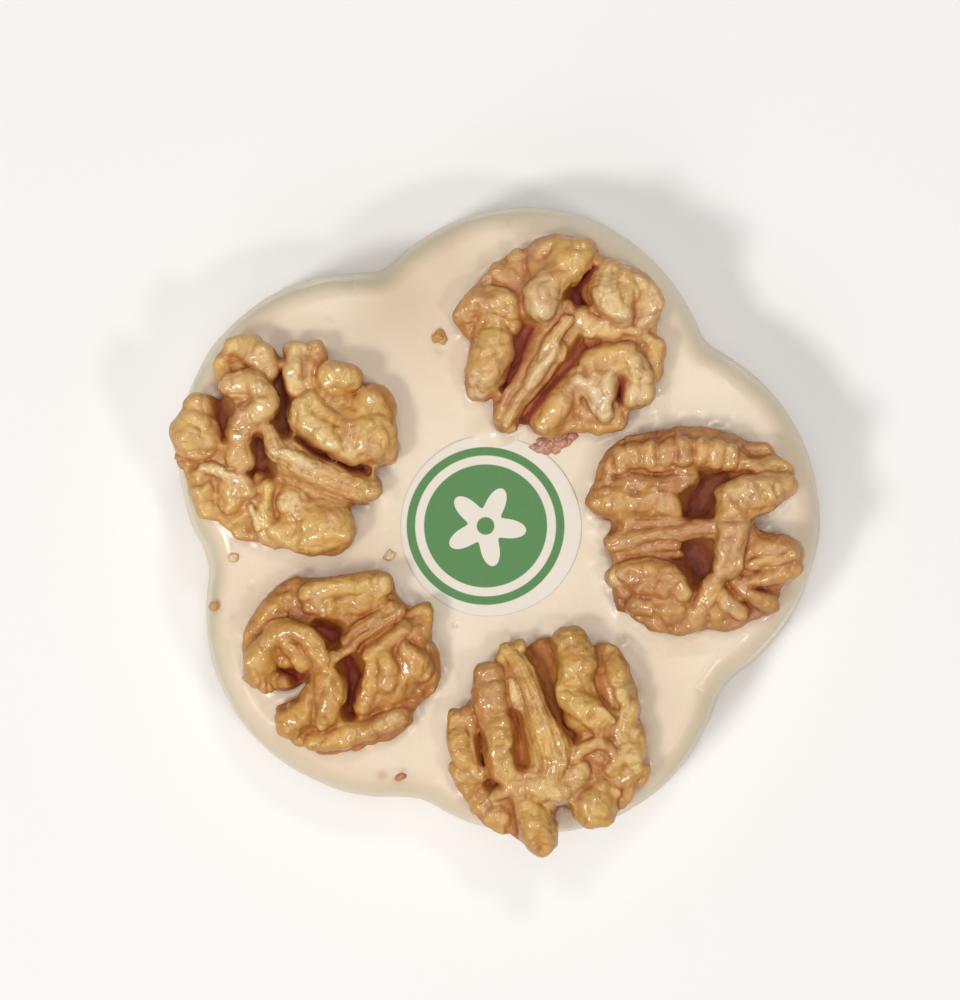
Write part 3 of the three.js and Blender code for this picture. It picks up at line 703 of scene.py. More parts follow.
SOUTHWEST_FOLDS = [
    fold((9.6, 4.2, 4.6, 6.2), (9.0, 0.8, 7.6, 6.9), (7.6, -2.4, 7.4, 6.6), (6.0, -4.2, 5.0, 5.9), beads=0),
    fold((-3.4, 9.2, 5.4, 6.2), (0.6, 9.6, 5.6, 6.4), (4.0, 10.4, 4.4, 6.3), beads=0),
    fold((-11.6, 5.2, 4.0, 5.2), (-9.6, 7.4, 5.0, 5.4), (-7.6, 9.2, 4.0, 5.0), beads=0),
    fold((-9.4, 2.0, 4.6, 6.9), (-8.6, 0.8, 3.4, 6.2), beads=0),
    fold((-3.8, -4.6, 4.6, 6.8), (-4.6, -7.0, 4.6, 6.4), beads=0),
    fold((-9.0, -2.7, 2.6, 4.8), (-11.2, -2.2, 4.2, 6.4), (-12.0, -0.4, 5.0, 7.2), (-11.5, 1.6, 4.6, 7.4),
         (-10.4, 3.6, 3.8, 7.4)),
    fold((-13.5, 3.9, 1.6, 4.8), (-13.7, 2.4, 1.6, 4.8), red=0.1),
    fold((-9.6, 4.6, 3.0, 7.6), (-7.6, 5.0, 3.2, 8.2), (-5.6, 4.2, 3.6, 8.5), (-4.2, 2.6, 3.8, 8.5),
         (-3.2, 0.8, 3.2, 8.0)),
    fold((-8.0, 3.0, 2.6, 7.8), (-6.9, 1.8, 3.2, 7.8), (-5.8, 0.4, 3.2, 7.3)),
    fold((-12.0, 5.3, 2.4, 5.2), (-10.7, 6.7, 3.0, 5.8), (-9.3, 8.4, 3.2, 5.7), (-8.2, 9.5, 2.4, 5.2)),
    fold((-11.2, 5.0, 1.2, 5.8), (-9.6, 6.2, 1.2, 6.0), (-8.2, 7.0, 1.1, 5.8), pale=0.4),
    fold((-8.8, 10.7, 1.8, 4.4), (-6.9, 11.9, 1.8, 4.2), red=0.8),
    fold((-7.2, 9.2, 2.8, 5.0), (-6.2, 7.0, 2.4, 4.8), red=0.35),
    fold((-4.3, 10.3, 4.0, 6.7), (-2.0, 10.7, 4.0, 6.9), (1.0, 11.1, 4.0, 6.9), (3.6, 11.6, 3.8, 6.9),
         pale=0.3, beads=0.5),
    fold((5.6, 11.9, 3.2, 6.9), pale=0.5),
    fold((-4.6, 8.4, 2.4, 6.0)),
    fold((-1.6, 8.7, 3.0, 6.6)),
    fold((0.8, 7.9, 2.4, 5.9), (3.2, 8.5, 2.4, 6.1), (5.2, 9.6, 2.2, 5.8), red=0.2),
    fold((-1.4, 0.7, 1.8, 7.2), (0.8, 2.3, 1.8, 7.0), (3.0, 3.9, 1.9, 6.9), (5.4, 5.7, 2.1, 6.6),
         (7.8, 7.3, 2.2, 5.8), red=0.35, ribs=1, beads=0),
    fold((0.4, 3.5, 1.3, 6.2), (2.8, 5.3, 1.8, 6.5), (5.2, 6.9, 2.0, 6.3), (6.8, 8.4, 1.8, 5.6),
         red=0.4, ribs=1, beads=0),
    fold((6.2, 9.6, 1.6, 4.2), (7.4, 8.6, 1.6, 4.0), (8.2, 7.2, 1.4, 3.8), red=1.0),
    fold((8.9, 6.2, 1.8, 4.8), red=0.9),
    fold((11.7, 7.3, 3.0, 5.6), (11.5, 5.6, 3.5, 6.3), (10.9, 4.0, 3.2, 6.6)),
    fold((8.9, 4.7, 2.4, 6.8), (7.0, 3.6, 2.6, 7.1), (5.2, 2.4, 2.6, 7.3), (4.0, 0.9, 2.4, 7.1), pale=0.1),
    fold((6.2, 0.9, 3.4, 7.6), (6.8, -0.8, 4.0, 7.7), (6.7, -2.6, 4.0, 7.4), pale=0.15),
    fold((9.4, 2.1, 3.2, 7.2), (10.6, 1.0, 3.8, 7.4), (11.3, -0.9, 3.8, 7.0)),
    fold((4.4, -0.6, 2.8, 6.8), (4.4, -2.8, 3.2, 6.7), (3.6, -4.8, 3.2, 6.2)),
    fold((3.4, -6.0, 3.0, 5.8), pale=0.3),
    fold((6.0, -4.6, 2.4, 6.0), (4.6, -5.6, 2.2, 5.6), red=0.15),
    fold((8.4, -3.6, 2.6, 5.2), (11.0, -3.4, 3.0, 5.0), (12.8, -1.8, 2.6, 5.0), red=0.45),
    fold((8.4, -5.2, 2.2, 4.6), (11.0, -4.8, 2.2, 4.2), (12.6, -3.6, 1.8, 3.8), red=0.5),
    fold((13.2, 1.4, 1.7, 4.2), (13.4, -0.4, 1.6, 4.0), red=0.6),
    fold((-4.4, -10.8, 2.8, 5.4), (-2.0, -10.6, 3.4, 6.0), (1.0, -10.4, 3.5, 6.1), (3.6, -9.6, 3.5, 6.1),
         beads=1.4),
    fold((6.0, -8.5, 3.6, 6.1), (8.4, -7.3, 3.2, 5.7), pale=0.25, red=0.2),
    fold((7.8, -9.4, 2.0, 4.4), (9.4, -8.4, 1.6, 4.0), red=1.0),
    fold((-3.4, -12.3, 1.8, 3.6), (-0.8, -12.7, 2.0, 3.8), (3.2, -11.7, 2.0, 4.0), (6.6, -10.6, 2.0, 3.8),
         red=0.8),
    fold((-2.7, -0.9, 3.2, 7.4), (-2.1, -2.6, 4.4, 7.8), (-1.8, -4.6, 4.8, 8.0), (-2.1, -6.6, 4.4, 7.8),
         (-2.4, -7.7, 3.4, 7.2), beads=0.7),
    fold((-4.4, -3.0, 1.8, 6.6), (-4.2, -4.6, 2.0, 6.8)),
    fold((-4.7, -5.6, 3.2, 6.8), (-6.1, -7.6, 4.2, 7.0), (-7.8, -8.8, 4.2, 6.3)),
    fold((-6.4, -10.3, 2.6, 4.8), red=0.15),
]

SOUTH_FOLDS = [
    fold((5.2, 4.6, 5.2, 7.1), (8.0, 3.8, 5.4, 6.6), (10.2, 4.0, 4.6, 6.0), beads=0),
    fold((-4.2, -5.4, 4.4, 6.4), (-1.0, -6.2, 5.4, 6.9), (2.2, -5.8, 4.6, 6.7), (4.6, -4.6, 3.6, 6.4),
         beads=0),
    fold((-9.2, -8.8, 3.6, 4.6), (-7.2, -9.8, 4.6, 4.9), beads=0),
    fold((-7.2, 2.0, 4.4, 6.4), (-6.6, -3.0, 4.4, 6.3), beads=0),
    fold((9.6, -1.0, 5.0, 5.8), (10.6, -4.4, 4.6, 5.4), beads=0),
    fold((12.0, 0.6, 4.0, 5.8), (12.4, -2.8, 4.0, 5.6), beads=0),
    fold((-5.5, 13.5, 2.6, 5.4), (-4.4, 11.8, 2.8, 6.4), (-2.9, 9.0, 2.8, 7.0), (-1.7, 6.0, 3.0, 7.4),
         (-0.5, 3.0, 3.6, 7.6), (0.6, 0.2, 4.8, 7.6), (1.2, -2.4, 5.4, 7.3), (0.9, -4.4, 4.6, 7.0),
         ribs=1, beads=0),
    fold((-6.4, 12.5, 2.0, 5.0)),
    fold((-4.0, 14.2, 2.0, 5.2)),
    fold((-8.4, 9.8, 4.4, 6.6), (-8.2, 8.0, 5.2, 7.2), (-7.9, 6.2, 5.0, 7.0), red=0.6, beads=0.4),
    fold((-5.4, 9.4, 1.4, 6.6), (-4.9, 7.2, 1.5, 6.6), (-4.5, 5.6, 1.3, 6.0), pale=0.6, beads=0),
    fold((-7.7, 4.6, 3.8, 6.6), (-7.3, 2.6, 4.6, 7.1), (-7.0, 0.6, 4.4, 7.2), beads=0.6),
    fold((-6.9, -1.0, 4.2, 6.9), (-6.4, -3.0, 4.2, 6.6), (-5.6, -4.4, 3.2, 6.2), pale=0.2, beads=0.6),
    fold((-10.3, 6.0, 1.2, 5.8), (-9.2, 3.0, 1.3, 6.2), (-8.4, 0.8, 1.2, 6.4), pale=0.3, beads=0),
    fold((-13.4, 3.8, 2.8, 5.4), (-13.0, 1.4, 3.6, 6.2), (-12.4, -1.0, 3.4, 6.2), (-11.2, -2.6, 2.8, 6.0),
         (-9.8, -4.0, 2.6, 5.4)),
    fold((-11.9, 4.2, 2.4, 5.4), (-11.2, 2.0, 2.0, 5.2), red=0.3),
    fold((-12.4, -3.8, 3.6, 5.2), (-11.6, -5.8, 3.8, 4.8), (-10.7, -7.2, 2.6, 4.0), red=0.1),
    fold((-8.6, -8.7, 3.6, 4.8), (-8.4, -10.2, 3.4, 4.6), red=0.1),
    fold((-7.6, -9.6, 3.4, 5.1), (-6.4, -10.9, 3.4, 5.1), pale=0.35),
    fold((-7.8, -7.8, 1.7, 5.1), (-6.4, -6.9, 2.0, 5.8), (-5.0, -6.3, 2.0, 6.3), pale=0.3, beads=0),
    fold((-5.0, -9.2, 1.6, 4.4), (-4.9, -11.4, 2.2, 4.6), (-4.0, -12.8, 2.0, 4.4), red=0.9),
    fold((-3.7, -7.6, 3.0, 6.6), (-2.8, -9.4, 4.2, 7.2), (-1.7, -11.4, 5.0, 7.4), (-1.0, -13.4, 4.8, 6.6),
         (-0.8, -14.8, 3.2, 5.4)),
    fold((-4.4, -8.2, 1.2, 6.4), (-3.8, -11.0, 1.2, 6.0), pale=0.3),
    fold((-0.4, -5.4, 3.4, 7.2), (1.2, -6.8, 3.0, 7.1), pale=0.3, beads=0),
    fold((2.6, -5.6, 3.0, 6.8), (4.2, -4.6, 3.4, 6.9), (5.2, -3.4, 2.6, 6.6), pale=0.5),
    fold((7.0, -8.6, 6.8, 7.2), pale=0.1),
    fold((7.6, -5.8, 3.8, 6.4), red=0.15),
    fold((9.8, -6.6, 2.4, 6.2)),
    fold((11.3, -6.4, 2.8, 5.0), (10.9, -8.0, 2.2, 4.0)),
    fold((4.4, -1.4, 2.0, 6.6), (5.4, 0.0, 2.0, 6.9), (7.2, 0.7, 2.0, 6.8), (9.2, 0.0, 2.0, 6.6),
         (10.4, -1.6, 2.2, 6.2), (9.6, -3.2, 2.6, 6.0), pale=0.15, beads=0),
    fold((7.3, -1.3, 4.4, 6.1), red=0.4, beads=0),
    fold((11.9, -0.2, 3.4, 6.4), (12.6, -2.2, 3.2, 6.4), pale=0.5),
    fold((13.4, -3.8, 2.8, 5.8), (13.8, -4.8, 2.0, 4.8)),
    fold((12.6, 2.2, 1.9, 5.8), pale=0.4),
    fold((11.0, 1.2, 2.8, 6.2), (10.6, 3.2, 2.4, 6.2), pale=0.3),
    fold((10.6, -4.4, 2.8, 5.4), red=0.2),
    fold((9.0, 13.8, 2.8, 5.0), (9.8, 11.8, 3.6, 6.2), (10.4, 9.8, 3.6, 6.8)),
    fold((8.2, 13.0, 3.2, 4.8), (9.0, 10.4, 4.6, 5.9), (9.8, 7.4, 4.6, 6.2), beads=0),
    fold((10.9, 7.8, 3.6, 7.0), pale=0.5),
    fold((12.0, 6.0, 3.2, 6.6), (11.2, 4.4, 2.8, 6.4), pale=0.35),
    fold((3.4, 14.6, 5.4, 7.0), (4.2, 12.2, 5.8, 8.0), (4.0, 9.8, 4.6, 8.0)),
    fold((2.2, 8.6, 2.2, 7.4), (3.8, 7.0, 4.0, 8.0), (5.6, 5.4, 4.2, 8.0), (7.2, 3.8, 3.6, 7.5),
         (8.8, 2.6, 3.0, 6.8),
         (10.0, 2.6, 2.2, 6.2)),
    fold((7.6, 5.2, 1.2, 7.8), (9.2, 3.2, 1.3, 7.2), pale=0.35),
    fold((-0.8, 14.0, 4.4, 2.6), (0.4, 11.0, 4.0, 2.8), red=0.7, beads=0),
]

# Hollows between the folds: rows of x, y, width and the height of their floor over the cheese
HOLLOWS = {
    "nut_west": [
        [(-1.6, 9.6, 2.6, 2.2), (-1.4, 6.4, 3.0, 1.6), (-0.6, 3.2, 2.6, 1.8)],
        [(-4.3, 0.6, 1.6, 2.2), (-4.1, -1.2, 2.6, 1.8), (-4.2, -2.8, 3.2, 1.8)],
        [(-10.0, 6.0, 2.6, 2.8), (-9.6, 2.6, 2.6, 3.0)],
        [(13.8, -4.0, 1.4, -2.0), (16.6, -4.2, 2.4, -2.0)],
        [(-12.4, 8.8, 2.4, -2.0), (-10.6, 8.0, 1.8, -2.0)],
        [(1.8, 1.6, 1.2, 3.6), (4.4, -0.5, 1.2, 4.2), (8.0, -2.0, 1.2, 3.8), (11.0, -3.6, 1.4, 2.6)],
    ],
    "nut_north": [
        [(8.9, -6.0, 1.2, 4.8), (8.8, -8.4, 1.4, 4.2)],
        [(4.4, 9.4, 1.6, 2.4), (3.2, 7.2, 3.2, 1.6), (2.4, 5.4, 2.8, 1.8)],
        [(-5.0, 0.8, 3.0, 3.0), (-6.0, -2.8, 3.4, 2.6), (-7.6, -6.6, 2.2, 2.0)],
        [(3.4, -1.2, 2.0, 3.0), (7.0, -0.7, 1.4, 3.2)],
        [(2.8, -2.0, 1.8, 3.4), (0.6, -4.6, 1.4, 4.0), (-2.4, -8.4, 1.4, 3.8), (-5.2, -12.2, 1.6, 2.6)],
    ],
    "nut_east": [
        [(3.9, 8.4, 2.2, 2.6), (1.9, 6.4, 4.4, 1.6), (0.8, 4.2, 4.2, 1.6), (-0.2, 2.8, 3.0, 2.2)],
        [(-0.8, -1.8, 3.0, 2.0), (0.3, -3.4, 5.2, 1.4), (1.1, -5.2, 4.0, 1.8)],
    ],
    "nut_southwest": [
        [(-3.4, 5.0, 2.0, 1.8), (-1.8, 4.2, 3.2, 1.4)],
        [(1.0, 0.4, 2.2, 1.6), (1.7, -1.8, 3.0, 1.4), (1.8, -4.2, 2.6, 1.4), (1.2, -6.8, 1.8, 2.0)],
        [(-8.6, -1.3, 2.0, 2.2), (-6.6, -1.9, 2.4, 1.6)],
        [(-5.7, -3.4, 0.9, -2.6), (-6.8, -4.3, 1.2, -2.6), (-9.0, -5.3, 2.0, -2.6),
         (-11.6, -6.5, 3.8, -2.6)],
    ],
    "nut_south": [
        [(-9.8, 4.6, 1.4, 3.0), (-9.0, -1.4, 1.6, 2.8), (-7.6, -5.4, 2.8, 2.4)],
        [(-5.0, 6.0, 1.0, 4.6), (-4.6, 3.0, 1.4, 3.6), (-4.0, -1.6, 1.6, 3.4), (-3.6, -3.6, 1.2, 4.4)],
        [(-0.8, 13.2, 2.8, 2.2), (0.0, 9.4, 2.4, 2.8), (1.6, 4.6, 2.0, 3.2), (3.4, 1.6, 2.0, 3.6)],
        [(2.3, -9.6, 1.8, 0.6), (2.6, -12.6, 2.0, -1.8)],
        [(7.4, 10.6, 1.0, 4.4), (8.0, 8.4, 1.2, 4.4), (8.6, 6.2, 1.0, 4.8)],
    ],
}

# Thin creases between and across the folds: rows of x, y, width and depth
GROOVES = {
    "nut_west": [
        [(-8.8, 13.8, 0.8, 0.6), (-7.4, 12.7, 0.9, 0.8), (-5.9, 11.3, 0.9, 0.8), (-4.0, 10.6, 0.7, 0.5)],
        [(-3.0, 13.9, 0.5, 0.3), (-4.7, 12.9, 0.5, 0.3)],
        [(-8.2, 10.2, 0.6, 0.4), (-7.8, 9.2, 0.6, 0.4)],
        [(-6.4, 6.8, 0.6, 0.4), (-4.8, 7.5, 0.6, 0.4), (-3.2, 7.4, 0.6, 0.4), (-2.2, 6.9, 0.6, 0.3)],
        [(-7.6, 6.0, 0.9, 0.6), (-6.6, 6.8, 0.8, 0.5)],
        [(-6.8, 4.6, 0.5, 0.35), (-5.2, 4.2, 0.5, 0.35)],
        [(-5.8, 3.4, 0.5, 0.3), (-5.2, 2.8, 0.5, 0.3)],
        [(-8.2, 2.2, 0.6, 0.35), (-6.6, 2.2, 0.6, 0.35), (-5.2, 1.6, 0.6, 0.3)],
        [(-8.4, 0.7, 0.6, 0.35), (-6.8, 0.9, 0.6, 0.35), (-5.6, 0.4, 0.6, 0.3)],
        [(-8.2, -1.0, 0.5, 0.25), (-6.4, -0.8, 0.5, 0.25)],
        [(-15.4, 4.4, 0.7, 0.5), (-13.7, 2.9, 0.7, 0.5), (-12.2, 2.1, 0.7, 0.5), (-11.0, 2.9, 0.6, 0.4),
         (-10.8, 4.4, 0.6, 0.3)],
        [(-13.4, 4.4, 0.5, 0.3), (-12.0, 4.6, 0.5, 0.3)],
        [(-15.8, 0.4, 0.6, 0.3), (-13.4, 0.2, 0.6, 0.3)],
        [(-16.6, -0.7, 0.8, 0.5), (-14.0, -0.7, 0.8, 0.6), (-11.2, -0.8, 0.8, 0.6), (-9.6, -0.4, 0.8, 0.5)],
        [(-15.4, -2.2, 0.6, 0.4), (-12.6, -2.2, 0.6, 0.4), (-10.2, -1.9, 0.6, 0.4)],
        [(-13.8, -5.8, 0.6, 0.4), (-12.2, -5.0, 0.6, 0.4), (-11.4, -4.4, 0.6, 0.3)],
        [(-10.6, -4.8, 1.2, 0.7), (-10.1, -7.0, 1.3, 1.0), (-9.8, -9.4, 1.1, 0.8)],
        [(-9.4, -9.9, 0.8, 0.6), (-7.8, -9.6, 0.8, 0.6), (-6.3, -8.9, 0.8, 0.6)],
        [(-6.6, -6.8, 0.8, 0.5), (-5.8, -8.4, 0.9, 0.6)],
        [(-6.4, -9.4, 0.9, 0.5), (-5.6, -11.6, 1.0, 0.7), (-5.4, -13.2, 0.9, 0.6)],
        [(-4.0, -5.2, 0.8, 0.5), (-4.0, -7.6, 0.8, 0.6), (-4.6, -8.6, 0.8, 0.4)],
        [(-2.2, -6.4, 0.8, 0.5), (-2.2, -9.0, 0.9, 0.6), (-1.4, -10.6, 0.8, 0.6), (0.4, -11.0, 0.8, 0.6),
         (2.4, -10.4, 0.8, 0.5)],
        [(-2.2, -13.4, 0.8, 0.5), (-2.0, -11.8, 0.8, 0.4)],
        [(1.2, -11.4, 0.7, 0.4), (1.0, -13.4, 0.7, 0.4)],
        [(2.8, -8.8, 0.7, 0.4), (3.2, -7.0, 0.8, 0.5)],
        [(-2.8, -1.6, 0.7, 0.5), (0.6, -2.7, 0.7, 0.6), (3.8, -4.1, 0.7, 0.5), (7.6, -5.4, 0.5, 0.3)],
        [(-5.4, -4.0, 0.9, 0.7), (-2.0, -4.3, 0.9, 0.8), (1.4, -5.4, 0.9, 0.8), (5.0, -6.8, 0.9, 0.7),
         (8.4, -7.9, 0.8, 0.5)],
        [(1.6, 1.4, 1.2, 0.8), (4.2, -0.6, 1.2, 0.8), (7.6, -2.0, 1.0, 0.6)],
        [(2.4, 5.6, 0.5, 0.3), (4.2, 5.8, 0.5, 0.3)],
        [(4.8, 4.0, 0.5, 0.3), (5.8, 5.2, 0.5, 0.3), (6.8, 5.6, 0.5, 0.3)],
        [(7.0, 3.8, 0.7, 0.5), (7.7, 1.8, 0.7, 0.5), (8.6, -0.4, 0.7, 0.5), (8.6, -1.6, 0.6, 0.3)],
        [(8.6, 2.0, 0.6, 0.3), (10.6, 1.8, 0.6, 0.35), (12.4, 2.3, 0.6, 0.35), (13.4, 3.2, 0.5, 0.3)],
        [(9.6, 0.4, 0.5, 0.25), (11.4, 0.9, 0.5, 0.25)],
        [(7.0, 5.6, 0.9, 0.7), (8.4, 5.7, 0.9, 0.7), (10.0, 5.1, 0.8, 0.5)],
        [(3.9, 11.4, 0.8, 0.6), (4.0, 9.2, 0.9, 0.7), (5.6, 7.6, 0.9, 0.7), (8.0, 7.2, 0.9, 0.7),
         (10.4, 7.8, 0.8, 0.6)],
        [(8.4, 11.6, 0.5, 0.3), (8.6, 9.6, 0.5, 0.3)],
        [(2.1, 15.0, 0.7, 0.4), (2.1, 12.4, 0.8, 0.5), (2.3, 9.4, 0.8, 0.5)],
        [(3.2, 12.2, 0.6, 0.4), (5.0, 12.2, 0.6, 0.4)],
        [(-0.4, 12.4, 0.6, 0.3), (1.2, 12.6, 0.6, 0.3)],
        [(-0.4, 10.4, 0.6, 0.35), (1.4, 10.4, 0.6, 0.35)],
        [(0.2, 8.4, 0.6, 0.4), (2.2, 8.2, 0.6, 0.4), (4.0, 8.0, 0.6, 0.4)],
    ],
    "nut_north": [
        [(-4.2, 14.4, 0.6, 0.4), (-4.4, 12.6, 0.6, 0.4), (-3.4, 11.4, 0.7, 0.5), (-1.8, 11.8, 0.7, 0.5),
         (-0.6, 13.2, 0.7, 0.5)],
        [(-5.4, 12.4, 0.7, 0.5), (-4.9, 10.6, 0.8, 0.5), (-5.2, 8.8, 0.8, 0.5)],
        [(-3.2, 9.6, 0.5, 0.2), (-0.6, 9.9, 0.5, 0.25), (1.8, 9.7, 0.5, 0.25)],
        [(-4.6, 8.2, 0.6, 0.35), (-2.6, 8.2, 0.6, 0.35), (-1.6, 8.9, 0.6, 0.3)],
        [(-0.2, 8.6, 0.7, 0.4), (0.0, 6.6, 0.7, 0.45), (0.0, 4.6, 0.7, 0.4)],
        [(0.6, 8.4, 0.5, 0.3), (1.8, 8.0, 0.5, 0.3)],
        [(7.6, 10.8, 0.6, 0.4), (7.7, 8.8, 0.7, 0.5), (6.8, 7.4, 0.6, 0.4)],
        [(10.6, 9.6, 0.7, 0.5), (9.2, 8.2, 0.6, 0.3)],
        [(11.0, 7.6, 0.8, 0.6), (10.9, 5.6, 0.9, 0.7), (11.3, 3.6, 1.0, 0.8), (11.6, 2.6, 0.9, 0.7)],
        [(5.2, 6.0, 0.5, 0.3), (6.4, 4.9, 0.5, 0.35), (7.8, 5.4, 0.5, 0.3)],
        [(8.4, 7.0, 0.5, 0.35), (9.0, 5.2, 0.5, 0.35), (8.2, 4.0, 0.5, 0.3)],
        [(6.8, 3.2, 0.6, 0.35), (8.6, 2.6, 0.6, 0.35)],
        [(12.6, 7.8, 0.5, 0.3), (13.6, 6.0, 0.6, 0.4), (13.8, 4.0, 0.6, 0.4)],
        [(3.8, 4.2, 0.9, 0.6), (5.8, 3.0, 0.9, 0.7), (7.6, 1.9, 0.8, 0.6), (10.0, 2.2, 0.7, 0.5)],
        [(2.2, 2.0, 0.5, 0.3), (3.8, 0.9, 0.5, 0.3), (6.4, 0.3, 0.5, 0.3)],
        [(4.8, -0.9, 0.8, 0.6), (8.0, -0.6, 0.8, 0.6), (11.4, -0.5, 0.8, 0.5), (13.4, -0.8, 0.7, 0.4)],
        [(7.6, -3.2, 0.6, 0.3), (9.0, -2.9, 0.6, 0.35), (9.8, -4.0, 0.6, 0.3)],
        [(12.0, -2.4, 0.8, 0.6), (12.1, -4.2, 0.8, 0.6), (13.2, -5.0, 0.7, 0.5)],
        [(8.4, -4.6, 0.9, 0.5), (8.2, -6.6, 1.0, 0.7), (8.6, -9.2, 1.0, 0.7), (8.4, -10.8, 0.9, 0.5)],
        [(10.4, -5.6, 0.7, 0.3), (12.4, -6.2, 0.7, 0.3)],
        [(2.4, -6.6, 0.8, 0.6), (3.8, -8.6, 0.9, 0.8), (5.4, -10.8, 0.9, 0.7)],
        [(6.0, -11.2, 0.6, 0.4), (7.6, -11.0, 0.6, 0.4)],
        [(2.0, -7.4, 0.8, 0.6), (2.3, -9.6, 0.8, 0.6), (2.0, -12.6, 0.8, 0.5)],
        [(0.6, -9.6, 0.6, 0.3), (0.2, -12.4, 0.6, 0.3)],
        [(4.6, -4.4, 0.6, 0.4), (6.6, -4.6, 0.6, 0.4), (7.8, -4.2, 0.6, 0.3)],
        [(0.8, -3.2, 1.2, 0.8), (-1.8, -6.8, 1.4, 1.1), (-5.0, -10.6, 1.4, 1.1), (-6.6, -12.8, 1.2, 0.9)],
        [(-0.6, -0.6, 0.5, 0.3), (-3.2, -3.6, 0.6, 0.4), (-6.2, -7.6, 0.6, 0.4), (-8.4, -11.4, 0.5, 0.3)],
        [(0.8, -1.0, 0.5, 0.3), (-2.4, -5.4, 0.6, 0.4), (-5.8, -9.6, 0.6, 0.4), (-7.8, -12.6, 0.5, 0.3)],
        [(-12.2, 0.5, 0.7, 0.5), (-10.2, 1.2, 0.7, 0.5), (-7.6, 1.0, 0.7, 0.5), (-6.6, 0.2, 0.6, 0.3)],
        [(-12.4, 6.0, 0.7, 0.4), (-12.2, 3.8, 0.8, 0.6), (-12.2, 1.8, 0.7, 0.5)],
        [(-14.6, 3.4, 0.6, 0.35), (-13.2, 2.6, 0.6, 0.35)],
        [(-11.2, 6.0, 0.8, 0.6), (-9.4, 6.9, 0.8, 0.6), (-7.2, 6.4, 0.7, 0.4)],
        [(-9.6, 8.6, 0.8, 0.6), (-8.6, 7.6, 0.6, 0.4)],
        [(-12.8, -2.4, 0.5, 0.3), (-10.6, -2.6, 0.6, 0.35), (-8.6, -2.2, 0.5, 0.3)],
        [(-12.8, -5.0, 0.5, 0.3), (-11.2, -5.8, 0.6, 0.35), (-9.4, -5.2, 0.5, 0.3)],
        [(-10.6, -6.6, 0.5, 0.3), (-11.6, -8.0, 0.6, 0.4)],
    ],
    "nut_east": [
        [(-3.2, 14.2, 0.8, 0.4), (-3.2, 12.4, 0.8, 0.2)],
        [(3.4, 14.2, 0.9, 0.5), (3.4, 12.4, 0.8, 0.2)],
        [(6.8, 13.0, 0.9, 0.5), (6.9, 11.0, 0.9, 0.35)],
        [(-12.8, 8.4, 0.9, 0.5), (-6.0, 8.5, 1.0, 0.7), (-1.0, 8.7, 1.0, 0.6), (2.6, 9.2, 0.9, 0.4)],
        [(4.6, 8.6, 0.8, 0.5), (8.6, 8.7, 0.9, 0.6), (13.4, 8.1, 0.7, 0.4)],
        [(7.0, 7.6, 0.6, 0.3), (8.2, 5.4, 0.6, 0.4), (7.8, 3.4, 0.6, 0.3)],
        [(8.6, 8.0, 0.6, 0.3), (10.2, 5.6, 0.7, 0.45), (10.6, 3.8, 0.6, 0.3)],
        [(10.4, 8.0, 0.6, 0.3), (12.0, 5.8, 0.7, 0.4)],
        [(3.2, 2.2, 0.7, 0.4), (5.4, 1.9, 0.7, 0.5), (7.4, 1.8, 0.7, 0.5)],
        [(3.4, 5.6, 0.6, 0.3), (5.2, 5.1, 0.6, 0.4), (7.0, 4.0, 0.6, 0.35)],
        [(3.3, -1.2, 0.6, 0.2), (5.2, -1.0, 0.6, 0.35), (6.6, -0.8, 0.6, 0.3)],
        [(7.5, -0.2, 0.8, 0.5), (7.4, -3.8, 0.7, 0.5)],
        [(4.6, -6.0, 0.8, 0.6), (6.6, -6.0, 0.8, 0.7), (9.0, -5.4, 0.8, 0.7), (11.4, -4.5, 0.8, 0.6),
         (13.2, -3.9, 0.7, 0.4)],
        [(4.2, -6.0, 0.9, 0.8), (5.8, -8.4, 1.0, 1.0), (7.8, -10.2, 1.0, 0.9), (10.4, -11.4, 0.9, 0.6)],
        [(7.0, -7.6, 0.7, 0.4), (9.6, -8.0, 0.8, 0.6), (12.6, -7.9, 0.8, 0.5)],
        [(-10.2, -4.2, 0.9, 0.6), (-6.0, -3.9, 0.8, 0.6), (-3.0, -4.2, 0.8, 0.6), (-1.4, -5.4, 0.8, 0.5)],
        [(-8.6, -8.9, 0.9, 0.6), (-6.6, -9.0, 0.8, 0.6), (-4.2, -9.2, 0.8, 0.4)],
        [(-5.6, -9.2, 0.8, 0.6), (-5.3, -11.6, 0.8, 0.5)],
        [(-3.4, -12.4, 0.8, 0.6), (-3.3, -14.6, 0.9, 0.6)],
        [(-7.8, -6.6, 0.6, 0.3), (-5.0, -6.9, 0.6, 0.35)],
        [(0.6, -6.4, 0.9, 0.5), (0.4, -9.0, 0.9, 0.5), (-1.0, -10.4, 0.8, 0.4)],
        [(-10.0, -4.6, 0.8, 0.5), (-9.8, -7.6, 0.9, 0.6)],
        [(-10.2, 0.5, 0.7, 0.4), (-5.0, 0.9, 0.6, 0.4), (-1.0, 1.5, 0.5, 0.3)],
        [(-10.4, -1.7, 0.6, 0.3), (-6.0, -1.2, 0.6, 0.35), (-3.0, -0.7, 0.5, 0.25)],
        [(-10.2, 3.0, 0.6, 0.3), (-7.4, 3.0, 0.7, 0.5), (-5.6, 3.6, 0.6, 0.3)],
        [(-11.0, 6.3, 0.7, 0.3), (-6.4, 6.2, 0.7, 0.4), (-3.4, 6.4, 0.6, 0.3)],
        [(7.4, 11.0, 0.9, 0.6), (10.0, 10.9, 0.8, 0.5), (11.8, 10.9, 0.7, 0.4)],
    ],
    "nut_southwest": [
        [(-9.8, 3.2, 1.0, 0.6), (-9.1, 1.4, 1.2, 0.9), (-8.5, -0.4, 1.2, 1.0)],
